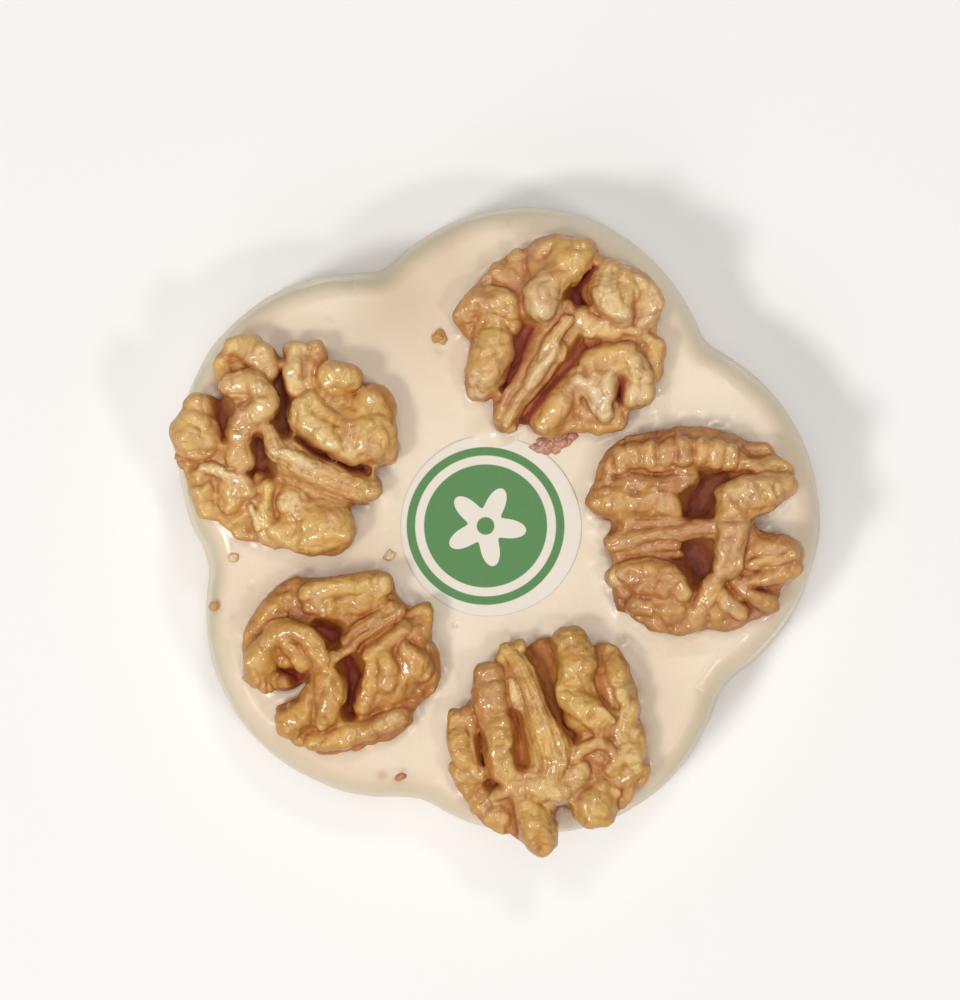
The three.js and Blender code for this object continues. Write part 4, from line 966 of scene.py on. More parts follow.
        [(-8.9, 4.0, 0.7, 0.5), (-7.4, 3.9, 0.7, 0.5), (-6.0, 3.0, 0.7, 0.5), (-4.9, 1.4, 0.7, 0.5)],
        [(-12.8, 4.6, 0.8, 0.6), (-11.2, 4.4, 0.8, 0.6), (-9.8, 5.9, 0.8, 0.8), (-7.6, 6.6, 0.8, 0.8),
         (-5.2, 6.1, 0.8, 0.7)],
        [(-12.9, 3.6, 0.6, 0.4), (-13.0, 1.6, 0.6, 0.4)],
        [(-11.2, 3.8, 0.6, 0.3), (-12.0, 0.8, 0.6, 0.35)],
        [(-6.4, 9.6, 0.9, 0.6), (-5.6, 7.6, 0.9, 0.6)],
        [(-6.0, 11.6, 0.9, 0.7), (-5.6, 9.8, 0.9, 0.7)],
        [(-8.4, 8.6, 0.7, 0.4), (-7.6, 7.0, 0.7, 0.4)],
        [(-2.4, 9.8, 0.6, 0.25), (0.0, 9.7, 0.8, 0.45), (1.0, 9.0, 0.7, 0.3)],
        [(0.2, 7.2, 0.8, 0.4), (2.8, 7.2, 0.8, 0.6), (5.2, 8.4, 0.9, 0.7)],
        [(4.4, 10.6, 0.7, 0.4), (4.6, 12.8, 0.6, 0.3)],
        [(1.0, 3.2, 0.6, 0.4), (3.2, 4.7, 0.7, 0.5), (5.6, 6.4, 0.8, 0.6), (7.4, 8.2, 0.8, 0.6)],
        [(2.0, 1.6, 0.9, 0.7), (3.8, 3.2, 1.0, 0.9), (6.2, 4.8, 1.0, 0.9), (8.4, 6.0, 0.9, 0.7)],
        [(-3.4, 0.2, 0.6, 0.4), (-1.6, -0.4, 0.6, 0.4)],
        [(-5.0, -1.6, 0.7, 0.4), (-3.8, -0.8, 0.7, 0.5), (-3.0, -0.6, 0.6, 0.3)],
        [(-4.6, -4.4, 0.7, 0.4), (-4.0, -6.4, 0.8, 0.6), (-3.9, -8.2, 0.8, 0.7), (-2.4, -9.2, 0.9, 0.8),
         (-0.2, -8.8, 0.9, 0.7)],
        [(-3.2, -2.2, 0.5, 0.25), (-3.3, -5.0, 0.6, 0.3), (-2.6, -7.0, 0.5, 0.2)],
        [(-1.6, -1.8, 0.5, 0.2), (-0.6, -4.0, 0.6, 0.3), (-0.8, -6.6, 0.5, 0.2)],
        [(-5.8, -6.2, 0.6, 0.3), (-4.8, -7.8, 0.6, 0.35)],
        [(-7.4, -6.8, 0.6, 0.3), (-6.0, -8.8, 0.6, 0.35)],
        [(-6.6, -10.2, 0.8, 0.4), (-5.0, -9.4, 0.9, 0.6), (-3.6, -9.2, 0.8, 0.5)],
        [(1.6, -8.6, 0.9, 0.7), (4.2, -7.4, 1.0, 0.8), (6.8, -6.4, 1.0, 0.8), (9.6, -5.9, 0.9, 0.6)],
        [(4.6, -8.4, 0.5, 0.3), (6.2, -10.0, 0.5, 0.3)],
        [(8.2, 3.4, 0.6, 0.4), (8.3, 1.4, 0.6, 0.4), (8.9, -0.6, 0.6, 0.45), (8.8, -2.8, 0.6, 0.4)],
        [(5.4, 0.6, 0.5, 0.25), (5.3, -1.4, 0.6, 0.3), (5.6, -3.4, 0.5, 0.25)],
        [(9.6, 4.0, 0.8, 0.6), (11.0, 2.8, 0.8, 0.6), (12.6, 2.6, 0.7, 0.5)],
        [(8.4, -2.9, 0.9, 0.7), (10.6, -2.9, 0.9, 0.7), (12.4, -1.0, 0.8, 0.6), (12.9, 1.2, 0.7, 0.5)],
        [(9.8, 7.2, 0.8, 0.5), (9.9, 5.4, 0.8, 0.5)],
        [(2.6, -4.6, 0.6, 0.4), (4.2, -5.2, 0.6, 0.4)],
    ],
    "nut_south": [
        [(-10.2, 10.6, 0.6, 0.3), (-8.2, 9.6, 0.6, 0.3)],
        [(-9.8, 6.4, 0.6, 0.35), (-8.2, 6.8, 0.6, 0.35), (-6.6, 6.4, 0.6, 0.3)],
        [(-9.6, 4.3, 0.8, 0.6), (-7.8, 4.3, 0.8, 0.6), (-5.8, 4.6, 0.8, 0.6)],
        [(-8.9, 2.6, 0.6, 0.3), (-7.4, 2.9, 0.6, 0.35), (-5.6, 2.6, 0.6, 0.3)],
        [(-8.4, -0.4, 0.7, 0.45), (-6.8, -0.2, 0.7, 0.5), (-5.2, -0.4, 0.7, 0.4)],
        [(-8.0, -2.4, 0.6, 0.4), (-6.4, -2.1, 0.6, 0.45), (-4.9, -2.4, 0.6, 0.35)],
        [(-6.2, 10.6, 0.8, 0.7), (-5.9, 8.0, 0.8, 0.7), (-5.6, 5.6, 0.7, 0.5)],
        [(-14.2, 3.0, 0.6, 0.3), (-12.2, 2.8, 0.6, 0.35)],
        [(-14.4, 0.0, 0.6, 0.35), (-12.6, -0.4, 0.6, 0.35), (-11.2, 0.2, 0.5, 0.25)],
        [(-14.0, -2.7, 0.8, 0.5), (-12.4, -2.8, 0.8, 0.5), (-10.6, -4.4, 0.7, 0.4)],
        [(-9.9, -2.2, 0.6, 0.3), (-9.2, -4.4, 0.7, 0.4)],
        [(-12.4, -6.4, 0.6, 0.3), (-10.8, -5.8, 0.6, 0.3)],
        [(-9.8, -7.6, 0.8, 0.6), (-8.0, -8.8, 0.8, 0.6), (-6.6, -8.6, 0.8, 0.5)],
        [(-8.0, -11.2, 0.7, 0.4), (-7.8, -9.4, 0.7, 0.4)],
        [(-5.6, -7.6, 0.9, 0.7), (-5.0, -10.2, 1.0, 0.9), (-4.6, -13.4, 0.9, 0.8)],
        [(-4.6, -6.8, 0.7, 0.5), (-2.6, -7.4, 0.8, 0.6), (-0.8, -7.6, 0.8, 0.5)],
        [(-3.4, -9.2, 0.6, 0.3), (-1.6, -9.9, 0.6, 0.3), (0.2, -9.6, 0.6, 0.3)],
        [(-3.6, -12.2, 0.6, 0.35), (-1.8, -12.0, 0.6, 0.35), (-0.2, -13.2, 0.6, 0.3)],
        [(-3.6, -4.4, 0.7, 0.5), (-1.4, -4.4, 0.7, 0.5), (0.8, -4.7, 0.7, 0.5)],
        [(-0.4, 6.2, 0.4, 0.3), (0.6, 2.8, 0.4, 0.3), (1.8, -0.4, 0.4, 0.3), (2.8, -2.4, 0.4, 0.25)],
        [(-1.7, 7.2, 0.4, 0.25), (-1.2, 3.4, 0.4, 0.3), (-0.4, 0.4, 0.4, 0.25)],
        [(-3.2, 10.8, 0.4, 0.25), (-2.6, 8.0, 0.4, 0.25), (-2.4, 4.6, 0.4, 0.25)],
        [(-6.6, 12.4, 0.6, 0.4), (-5.0, 12.2, 0.6, 0.3)],
        [(2.4, -3.4, 0.7, 0.5), (3.0, -5.0, 0.7, 0.5), (4.2, -6.4, 0.7, 0.5)],
        [(4.6, -3.4, 0.5, 0.25), (4.8, -5.2, 0.5, 0.25)],
        [(4.4, -6.8, 0.9, 0.6), (6.4, -5.4, 0.9, 0.7), (8.6, -4.6, 0.9, 0.6), (10.4, -4.8, 0.8, 0.5)],
        [(9.8, -5.2, 0.6, 0.3), (9.9, -7.4, 0.7, 0.45), (9.4, -9.4, 0.6, 0.3)],
        [(5.0, -8.2, 0.5, 0.2), (6.0, -9.8, 0.5, 0.25), (7.8, -11.0, 0.5, 0.25)],
        [(0.9, 13.4, 0.6, 0.3), (2.2, 13.9, 0.6, 0.3)],
        [(1.4, 10.8, 0.7, 0.45), (2.6, 9.9, 0.7, 0.5), (4.6, 10.4, 0.6, 0.4), (6.0, 11.6, 0.5, 0.3)],
        [(2.4, 7.9, 0.7, 0.4), (4.0, 8.3, 0.7, 0.45), (6.0, 7.8, 0.7, 0.4)],
        [(4.4, 5.6, 0.5, 0.25), (5.6, 6.4, 0.5, 0.3), (6.8, 6.0, 0.5, 0.25)],
        [(6.0, 3.0, 0.5, 0.25), (7.2, 4.4, 0.5, 0.3), (8.4, 4.6, 0.5, 0.25)],
        [(8.8, 12.9, 0.6, 0.35), (10.4, 12.4, 0.6, 0.35)],
        [(9.2, 9.6, 0.6, 0.35), (11.0, 9.1, 0.6, 0.35), (12.0, 8.8, 0.5, 0.3)],
        [(10.0, 7.0, 0.7, 0.45), (11.6, 7.3, 0.7, 0.45)],
        [(10.6, 5.2, 0.7, 0.45), (11.8, 4.4, 0.7, 0.45), (12.8, 4.2, 0.6, 0.4)],
        [(10.0, 2.2, 0.7, 0.45), (11.6, 2.6, 0.7, 0.45), (13.0, 3.0, 0.6, 0.4)],
        [(10.6, -0.6, 0.6, 0.35), (12.2, -0.6, 0.6, 0.35), (13.4, 0.2, 0.6, 0.35)],
        [(11.4, -3.4, 0.7, 0.5), (12.8, -2.8, 0.7, 0.5), (14.0, -2.8, 0.6, 0.4)],
        [(11.2, -5.0, 0.8, 0.6), (12.6, -5.2, 0.8, 0.6)],
    ],
}

# rim_shade is the colour of the painted shade on a kernel's lower edge and rim_height how high it reaches;
# deep is its hollows' colour, partly the skin's own dark and partly painted shade
NUTS = {
    "nut_west": {"offset": (0.2, -0.4), "bowl": (-1.0, -0.2, 12.2, 12.4), "folds": WEST_FOLDS,
     "rim_shade": (0.35, 0.130, 0.050), "rim_height": 3.4,
     "tint": (1.07, 1.08, 1.00), "deep": (0.30, 0.070, 0.030)},
    "nut_north": {"offset": (0.4, -0.2), "bowl": (-0.4, -0.6, 11.2, 10.6), "folds": NORTH_FOLDS,
     "rim_shade": (0.33, 0.115, 0.055), "rim_height": 3.6,
     "tint": (1.03, 1.00, 0.96), "deep": (0.32, 0.055, 0.030)},
    "nut_east": {"offset": (0.2, -0.1), "bowl": (-1.8, -0.2, 10.0, 11.6), "folds": EAST_FOLDS,
     "rim_shade": (0.22, 0.070, 0.045), "rim_height": 5.2,
     "tint": (0.93, 0.83, 0.71), "deep": (0.26, 0.060, 0.026)},
    "nut_southwest": {"offset": (0.4, -0.1), "bowl": (0.2, 0.0, 10.8, 10.4), "folds": SOUTHWEST_FOLDS,
     "rim_shade": (0.34, 0.120, 0.055), "rim_height": 3.4,
     "tint": (0.94, 0.82, 0.53), "deep": (0.38, 0.066, 0.050)},
    "nut_south": {"offset": (0.3, -0.1), "bowl": (-0.4, 1.0, 11.4, 11.4), "folds": SOUTH_FOLDS,
     "rim_shade": (0.36, 0.140, 0.055), "rim_height": 3.4,
     "tint": (0.97, 0.92, 0.71), "deep": (0.46, 0.165, 0.040)},
}
# Places where the skin is scraped off the pale flesh: rows of x, y, width and strength
SCARS = {
    "nut_west": [
        [(-12.4, -3.0, 1.4, 0.7), (-9.6, -3.6, 2.4, 0.9), (-7.6, -5.6, 1.8, 0.8)],
        [(0.2, -7.8, 3.6, 1.0), (0.9, -9.0, 2.6, 0.9)],
        [(-0.4, -0.9, 1.6, 0.9), (3.4, -2.8, 1.9, 0.9)],
        [(-6.4, 5.0, 2.6, 0.6)],
        [(-5.8, -9.4, 1.2, 0.7), (-4.4, -11.8, 1.4, 0.8)],
        [(14.6, -1.4, 2.4, 0.6)],
        [(-0.4, 14.2, 1.2, 0.5), (1.4, 11.6, 1.6, 0.5)],
        [(3.6, 10.4, 1.4, 0.5)],
    ],
    "nut_north": [
        [(-12.4, -5.8, 2.6, 0.9), (-12.2, -7.2, 2.4, 0.9)],
        [(-2.8, 5.2, 3.2, 0.6), (-2.6, 3.8, 2.6, 0.6)],
        [(-10.7, 8.4, 1.8, 1.0)],
        [(-6.2, 11.4, 1.6, 0.8)],
        [(3.2, -6.6, 1.4, 0.6), (5.8, -9.6, 1.8, 0.8)],
        [(7.4, -6.2, 1.8, 0.6)],
        [(-13.6, 3.2, 1.2, 0.5), (-13.0, 0.8, 1.2, 0.6)],
        [(8.6, 3.2, 2.4, 0.5)],
    ],
    "nut_east": [
        [(-11.4, -6.0, 2.4, 0.9)],
        [(5.2, -10.6, 3.0, 0.7)],
        [(-4.6, 3.8, 2.6, 0.5)],
        [(6.4, -1.6, 1.2, 0.6), (6.6, -4.0, 1.2, 0.6)],
        [(13.2, 7.6, 1.6, 0.5)],
    ],
    "nut_southwest": [
        [(5.6, 12.0, 2.6, 1.0), (5.4, 10.6, 2.4, 0.9)],
        [(7.6, -8.2, 3.4, 0.9), (4.4, -9.4, 1.8, 0.5)],
        [(-3.2, -11.0, 1.4, 0.5)],
        [(6.4, -2.8, 2.2, 0.5)],
        [(-7.4, 11.0, 1.2, 0.6)],
    ],
    "nut_south": [
        [(-5.3, 9.4, 1.2, 1.0), (-4.6, 5.8, 1.2, 0.9)],
        [(-1.8, -5.4, 3.2, 0.9), (0.2, -6.6, 3.4, 1.0), (1.8, -7.2, 2.4, 0.9)],
        [(-0.6, -1.0, 2.0, 0.6), (1.0, -1.6, 1.8, 0.6)],
        [(-6.6, -10.4, 1.6, 0.6)],
        [(3.0, 9.0, 2.0, 0.5)],
        [(12.8, 2.2, 1.4, 0.5), (13.2, -3.4, 1.6, 0.5)],
        [(8.2, 3.0, 1.6, 0.5)],
    ],
}

for name, nut in NUTS.items():
    nut["hollows"] = HOLLOWS[name]
    nut["grooves"] = GROOVES[name]
    nut["scars"] = SCARS[name]

NUT_STEP = 0.22
NUT_FLOOR = -1.6
NUT_CEILING = 10.6
NUT_REACH = 18.6
PATH_STEPS = 3

# A fold's section: its boxiness, how far down it reaches, and the creases across it
SECTION_POWER = 2.4
FOLD_FOOT = -2.4
WIDER = 1.11
CREASE = 0.22
TOP_SWAY = 0.42
WALL_SWAY = 0.85

# How far in a kernel's foot lies from where it is widest, the share of that for the flesh between the folds,
# at what height a kernel is widest, and half its usual width
FOOT_INSET = 1.3
FLESH_INSET = 0.3
WIDEST = 4.5
HALF_WIDTH = 12.5
BEAD_LENGTH = 2.9
BEAD_DEPTH = 0.13
GROOVE_TAPER = 1.4
GROOVE_SHARE = 0.85
RIB_SPACING = 0.62
RIB_DEPTH = 0.055

# How far, in millimetres, a crest stands out of its smoothed surroundings at most
CREASE_MOST = 0.12
SWELL_MOST = 0.45

# The flesh between the folds: its height as a share of theirs, and its sag away from them
FLESH_SHARE = 0.89
FLESH_SAG = 0.8
FLESH_BLEND = 0.3
FLESH_SPREAD = 1.2


def smooth_path(crest):
    """The crest's rows with more of them on a smooth curve in between."""
    rows = np.array(crest, float)
    if len(rows) == 1:
        return np.repeat(rows, 2, axis=0)
    ends = np.concatenate([[2 * rows[0] - rows[1]], rows, [2 * rows[-1] - rows[-2]]])
    out = []
    for a, b, c, d in zip(ends, ends[1:], ends[2:], ends[3:]):
        for t in np.arange(PATH_STEPS) / PATH_STEPS:
            out.append(0.5 * (2 * b + (c - a) * t + (2 * a - 5 * b + 4 * c - d) * t**2
                              + (3 * b - a - 3 * c + d) * t**3))
    out.append(rows[-1])
    return np.array(out)


def along_crest(x, y, crest):
    """What each point of the plan is next to: distance aside, half width, height and length along."""
    path = smooth_path(crest)
    shape = np.broadcast_shapes(x.shape, y.shape)
    aside = np.full(shape, 1e3)
    signed, half, height, length = (np.zeros(shape) for _ in range(4))
    passed = 0.0
    for start, end in zip(path, path[1:]):
        run = end - start
        long = max(math.hypot(run[0], run[1]), 1e-6)
        share = np.clip(((x - start[0]) * run[0] + (y - start[1]) * run[1]) / long**2, 0, 1)
        off_x = x - start[0] - share * run[0]
        off_y = y - start[1] - share * run[1]
        away = np.hypot(off_x, off_y)
        radius = WIDER * (start[2] + share * run[2]) / 2
        nearer = away - radius < aside - half
        aside = np.where(nearer, away, aside)
        half = np.where(nearer, radius, half)
        height = np.where(nearer, start[3] + share * run[3], height)
        length = np.where(nearer, passed + share * long, length)
        signed = np.where(nearer, (off_y * run[0] - off_x * run[1]) / long, signed)
        passed += long
    return aside, half, height, length, signed, passed


def fold_distance(x, y, z, item):
    """How far points lie outside a fold. Its section is boxy above the crest's line and long below it."""
    aside, half, height, length, signed, whole = along_crest(x, y, item["crest"])
    dent = item["ribs"] * RIB_DEPTH * ribs(signed)
    if whole > BEAD_LENGTH:
        beads = round(whole / BEAD_LENGTH)
        crease = 1 - np.abs(np.cos(math.pi * beads * length / whole)) ** 0.8
        dent = dent + item["beads"] * BEAD_DEPTH * crease
    line = height - half
    rise = z - line
    rise = np.where(rise < 0, rise * half / (line - FOLD_FOOT), rise)
    power = SECTION_POWER
    section = (np.abs(aside) ** power + np.abs(rise) ** power) ** (1 / power)
    return section - half + dent


def ribs(aside):
    """Uneven waves across a fibrous ridge, from the signed distance to its crest."""
    turn = 2 * math.pi * aside / RIB_SPACING
    return np.cos(turn) + 0.8 * np.cos(1.62 * turn + 1.3) + 0.5 * np.cos(0.58 * turn + 0.4)


def flesh_plan(x, y, nut):
    """The height of the flesh between the folds, and how far each point of the plan lies outside it."""
    spread = np.full(np.broadcast_shapes(x.shape, y.shape), 1e-9)
    heights = np.zeros(spread.shape)
    nearest = np.full(spread.shape, 50.0)
    for item in nut["folds"]:
        aside, half, height, *_ = along_crest(x, y, item["crest"])
        gap = aside - half
        weight = np.exp(-np.clip(gap, -0.5, 20) / FLESH_SPREAD)
        spread += weight
        heights += weight * height
        nearest = np.minimum(nearest, gap)
    height = FLESH_SHARE * heights / spread - FLESH_SAG * np.clip(nearest, 0, None)
    bowl_x, bowl_y, half_x, half_y = nut["bowl"]
    bowl = (np.hypot((x - bowl_x) / half_x, (y - bowl_y) / half_y) - 1) * min(half_x, half_y)
    outside = blend_union(0.7 - 0.9 * np.log(spread), bowl, 1.5)
    height = np.maximum(height, 1.6)
    for crest in nut["hollows"]:
        aside, half, floor, *_ = along_crest(x, y, crest)
        height = floor + (height - floor) * ease(aside / half, 0.2, 1.8)
    return height, outside


def groove_depth(x, y, nut):
    """How deep the nut's creases cut in at each point of the plan."""
    depth = np.zeros(np.broadcast_shapes(x.shape, y.shape))
    for crest in nut["grooves"]:
        aside, half, deep, length, _, whole = along_crest(x, y, crest)
        fade = ease(length, -0.3, GROOVE_TAPER) * ease(whole - length, -0.3, GROOVE_TAPER)
        depth = np.maximum(depth, GROOVE_SHARE * deep * fade * np.exp(-aside / (1.5 * half)))
    return depth


def nut_grid():
    across = np.arange(-NUT_REACH, NUT_REACH, NUT_STEP, dtype=np.float32)
    up = np.arange(NUT_FLOOR - 1.5 * NUT_STEP, NUT_CEILING, NUT_STEP, dtype=np.float32)
    return across, up


def nut_field(nut, relief):
    """Distances from the kernel's surface on a grid of points round the nut's origin."""
    across, up = nut_grid()
    x = across[:, None, None]
    y = across[None, :, None]
    sway = WALL_SWAY - (WALL_SWAY - TOP_SWAY) * ease(up, 1.5, 5.5)
    inset = FOOT_INSET * (1 - ease(up, 0.0, WIDEST))
    taper = 1 + inset / HALF_WIDTH
    bend_x = x * taper + sway * relief.over(across, across, up, 3.1)
    bend_y = y * taper + sway * relief.over(across + 40, across, up, 3.1)
    bend_x = bend_x + 0.2 * relief.over(across, across + 40, up, 1.4)
    bend_y = bend_y + 0.2 * relief.over(across + 40, across + 40, up, 1.4)
    middle = len(up) // 2
    grooves = groove_depth(bend_x[:, :, middle], bend_y[:, :, middle], nut)
    z = up[None, None, :] + grooves[:, :, None]
    height, outside = flesh_plan(x[:, :, 0], y[:, :, 0], nut)
    field = np.full((len(across), len(across), len(up)), 50, np.float32)
    for item in nut["folds"]:
        rows = np.array(item["crest"])
        wide = rows[:, 2].max() * WIDER / 2 + 1.4
        block = []
        for axis in (0, 1):
            first = np.searchsorted(across, rows[:, axis].min() - wide)
            last = np.searchsorted(across, rows[:, axis].max() + wide)
            block.append(slice(first, last))
        block = tuple(block)
        away = fold_distance(bend_x[block], bend_y[block], z[block], item)
        field[block] = blend_union(field[block], away, CREASE)
    top = 0.75 * (z - height[:, :, None])
    flesh = -blend_union(-top, -outside[:, :, None] - FLESH_INSET * inset, 1.2)
    field = blend_union(field, flesh, FLESH_BLEND)
    field += 0.22 * relief.over(across, across, up, 2.4) + 0.10 * relief.over(across, across, up + 40, 1.1)
    field += 0.055 * relief.over(across + 40, across + 40, up, 0.62)
    field += 0.09 * vein_lines(relief.over(across, across + 40, up, 3.4),
                               relief.over(across, across + 40, up, 1.4))
    field += 0.15 * vein_lines(relief.over(across, across, up + 40, 2.2),
                               relief.over(across, across + 40, up, 1.0))
    return np.maximum(field, NUT_FLOOR - up)


def vein_lines(wide, fine):
    """1 on thin wandering lines and 0 away from them, from two reliefs."""
    return np.exp(-np.abs(wide + 0.35 * fine) / 0.11)


def swell_values(points, faces, normals):
    """How far each point stands out of its smoothed surroundings, wide and fine, from -1 to 1."""
    values = {}
    smooth = points
    for name, rounds, most in (("crease", 12, CREASE_MOST), ("swell", 90, SWELL_MOST)):
        smooth = relax(smooth, faces, rounds, 0.5)
        out = np.sum((points - smooth) * normals, axis=1)
        values[name] = np.clip(out / most, -1, 1)
    return values


def skin_values(nut, points, relief):
    """How pale and how red the skin is at each point, where it has fibres and where it has thin veins."""
    total = np.full(len(points), 1e-6)
    values = {name: np.zeros(len(points)) for name in ("pale", "red", "fibre")}
    x, y, z = points.T
    for item in nut["folds"]:
        away = fold_distance(x, y, z, item)
        weight = np.exp(-np.clip(away, -0.2, 30) / 0.35)
        total += weight
        values["pale"] += weight * item["pale"]
        values["red"] += weight * item["red"]
        if item["ribs"]:
            signed = along_crest(x, y, item["crest"])[4]
            values["fibre"] += weight * item["ribs"] * ease(-ribs(signed), -0.6, 1.6)
    values = {name: numbers / total for name, numbers in values.items()}
    scar = np.zeros(len(points))
    for crest in nut["scars"]:
        aside, half, strength, *_ = along_crest(x, y, crest)
        scar = np.maximum(scar, strength * (1 - ease(aside / half, 0.5, 1.3)))
    values["scar"] = scar * ease(z, 2.0, 4.0)
    # deep: the listed hollows, for their dark, partly the skin's own and partly painted shade
    deep = np.zeros(len(points))
    for crest in nut["hollows"]:
        aside, half, floor, *_ = along_crest(x, y, crest)
        deep = np.maximum(deep, (1 - ease(aside / half, 0.2, 1.9)) * (1 - ease(z - floor, 0.8, 6.5)))
    values["deep"] = deep
    # low: where the painted shade of the lower edge falls
    values["low"] = 1 - ease(z, 0.3, nut["rim_height"])
    values["vein"] = vein_lines(relief.at(x, y + 40, z, 3.4), relief.at(x, y + 40, z, 1.4))
    return values


def hollow_value(field, low, points, normals):
    """How shut in each point is, which sets the painted shade in hollows: 0 in the open and 1 deep in a
    hollow.
    """
    shut = np.zeros(len(points))
    tries = [(1.0, 0.30), (2.2, 0.35), (4.0, 0.35)]
    for far, weight in tries:
        lift = normals * 0.75 + np.array([0, 0, 0.25])
        open_way = sample(field, low, NUT_STEP, points + lift * far)
        shut += weight * np.clip(1 - open_way / far, 0, 1)
    return np.clip(shut, 0, 1)


def slope(field, low, points):
    """The direction in which the field grows fastest at each point."""
    out = []
    for axis in range(3):
        step = np.zeros(3)
        step[axis] = 0.6 * NUT_STEP
        ahead = sample(field, low, NUT_STEP, points + step)
        behind = sample(field, low, NUT_STEP, points - step)
        out.append(ahead - behind)
    out = np.stack(out, axis=1)
    return out / np.maximum(np.linalg.norm(out, axis=1, keepdims=True), 1e-9)


def nut_middle(name):
    """The nut's origin on the cheese's top face."""
    low, high = (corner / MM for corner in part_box(name))
    offset = NUTS[name]["offset"]
    return np.array([(low.x + high.x) / 2 + offset[0], (low.y + high.y) / 2 + offset[1], TOP])


def make_nut(name, seed):
    """One walnut half in its place, and its field for the cheese round it."""
    nut = NUTS[name]
    relief = Relief(seed)
    field = nut_field(nut, relief)
    across, up = nut_grid()
    low = np.array([across[0], across[0], up[0]], float)
    points, faces = main_body(*surface_net(field, low, NUT_STEP))
    points = relax(points, faces, 2, 0.35)
    normals = slope(field, low, points)
    hollow = hollow_value(field, low, points, normals)
    values = {**swell_values(points, faces, normals), **skin_values(nut, points, relief)}
    # hollow: painted shade where a point is shut in, joined with the listed hollows' own dark skin
    values["hollow"] = np.maximum(hollow, values.pop("deep"))
    # steep: where painted shade darkens the steep flanks
    values["steep"] = np.clip(1 - normals[:, 2], 0, 1) ** 0.7
    material = walnut_material("walnut_skin_" + name, seed, nut["deep"], nut["rim_shade"], nut["tint"])
    piece = make_piece(name + "_kernel", points + nut_middle(name), faces, material, values)
    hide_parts(name)
    return {"field": field, "low": low, "middle": nut_middle(name), "points": points}


# Cheese

CHEESE_AROUND = 640
SHOULDER_WIDTH = 3.2
RIM_RINGS = 12

# How much painted shade darkens the rim at least, how much more from the south-west round to the east, and
# that side's turn
RIM_SHADE_LEAST = 0.12
RIM_SHADE_MORE = 0.4
RIM_SHADE_TURN = math.radians(60)

# How much painted green bounce light and shade tint the cheese's outer edge at least, how much more in the
# north-west, and that side's turn
OLIVE_BOUNCE_LEAST = 0.26
OLIVE_BOUNCE_MORE = 0.6
OLIVE_BOUNCE_TURN = math.radians(150)


def cad_ring(height):
    """The flower's reach all round at one height, read from the CAD cheese."""
    corners = np.array([v.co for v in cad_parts["cheese"].data.vertices]) / MM
    ring = corners[np.abs(corners[:, 2] - height) < 0.02]
    turn = np.arctan2(ring[:, 1], ring[:, 0])
    reach = np.hypot(ring[:, 0], ring[:, 1])
    turns = np.linspace(-math.pi, math.pi, CHEESE_AROUND, endpoint=False)
    order = np.argsort(turn)
    turn, reach = turn[order], reach[order]
    keep = reach > 0.9 * np.interp(turn, turn, reach, period=2 * math.pi).min()
    reach = np.interp(turns, turn[keep], reach[keep], period=2 * math.pi)
    soft = np.fft.rfft(reach)
    soft[60:] = 0
    return turns, np.fft.irfft(soft, CHEESE_AROUND)


def wall_heights():
    """The heights of the CAD cheese's foot edge and of the bend where its shoulder starts."""
    corners = np.array([v.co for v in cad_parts["cheese"].data.vertices]) / MM
    levels, counts = np.unique(np.round(corners[:, 2], 2), return_counts=True)
    whole = levels[counts >= 60]
    return float(whole[1]), float(whole[2])


class Kernels:
    """The walnut halves where they meet the cheese's top face."""

    def __init__(self, nuts):
        self.nuts = nuts
        feet = []
        for nut in nuts:
            points = nut["points"]
            low_points = points[(points[:, 2] > -0.2) & (points[:, 2] < 1.0)]
            feet.append(low_points + nut["middle"])
        feet = np.concatenate(feet)
        self.tree = kdtree.KDTree(len(feet))
        for index, (x, y, _) in enumerate(feet):
            self.tree.insert((x, y, 0), index)
        self.tree.balance()

    def away(self, x, y):
        """How far places on the top face are from the nearest kernel, below 0 under one."""
        flat_x, flat_y = np.ravel(x), np.ravel(y)
        distance = np.array([self.tree.find((a, b, 0))[2] for a, b in zip(flat_x, flat_y)])
        for nut in self.nuts:
            spots = np.stack([flat_x, flat_y, np.full(flat_x.shape, TOP + 0.4)], axis=-1) - nut["middle"]
            close = np.max(np.abs(spots[:, :2]), axis=1) < NUT_REACH - 0.6
            inside = np.zeros(len(spots), bool)
            inside[close] = sample(nut["field"], nut["low"], NUT_STEP, spots[close]) < 0
            distance[inside] *= -1
        return distance.reshape(np.shape(x))

    def east_side(self, x, y):
        """The weight of the painted contact shadow: from 0.35 west of the nearest kernel's middle to 1 east
        of it.
        """
        nearest = np.full(np.shape(x), 1e3)
        side = np.zeros(np.shape(x))
        for nut in self.nuts:
            off_x = x - nut["middle"][0]
            far = np.maximum(np.hypot(off_x, y - nut["middle"][1]), 0.1)
            side = np.where(far < nearest, off_x / far, side)
            nearest = np.minimum(far, nearest)
        return 0.35 + 0.65 * ease(side, -0.5, 0.8)


# How strongly painted contact shadow, with the kernels' juice stain, darkens the cheese beside them
SHADE_HALO = 0.34

PITS = [(655, 395, 0.7), (622, 640, 0.8), (700, 690, 0.6), (330, 320, 0.5), (610, 300, 0.6),
        (455, 625, 0.6),
        (770, 640, 0.7), (420, 720, 0.6), (250, 585, 0.7), (440, 350, 1.0), (575, 420, 0.5),
        (600, 645, 0.6)]
BULGES = [(500, 434, 2.6, 0.7), (478, 437, 1.8, 0.5), (598, 530, 1.4, 0.35), (597, 560, 1.5, 0.35),
          (392, 500, 1.6, 0.3), (508, 640, 1.2, 0.45), (430, 600, 1.4, 0.3), (655, 420, 2.2, 0.4)]
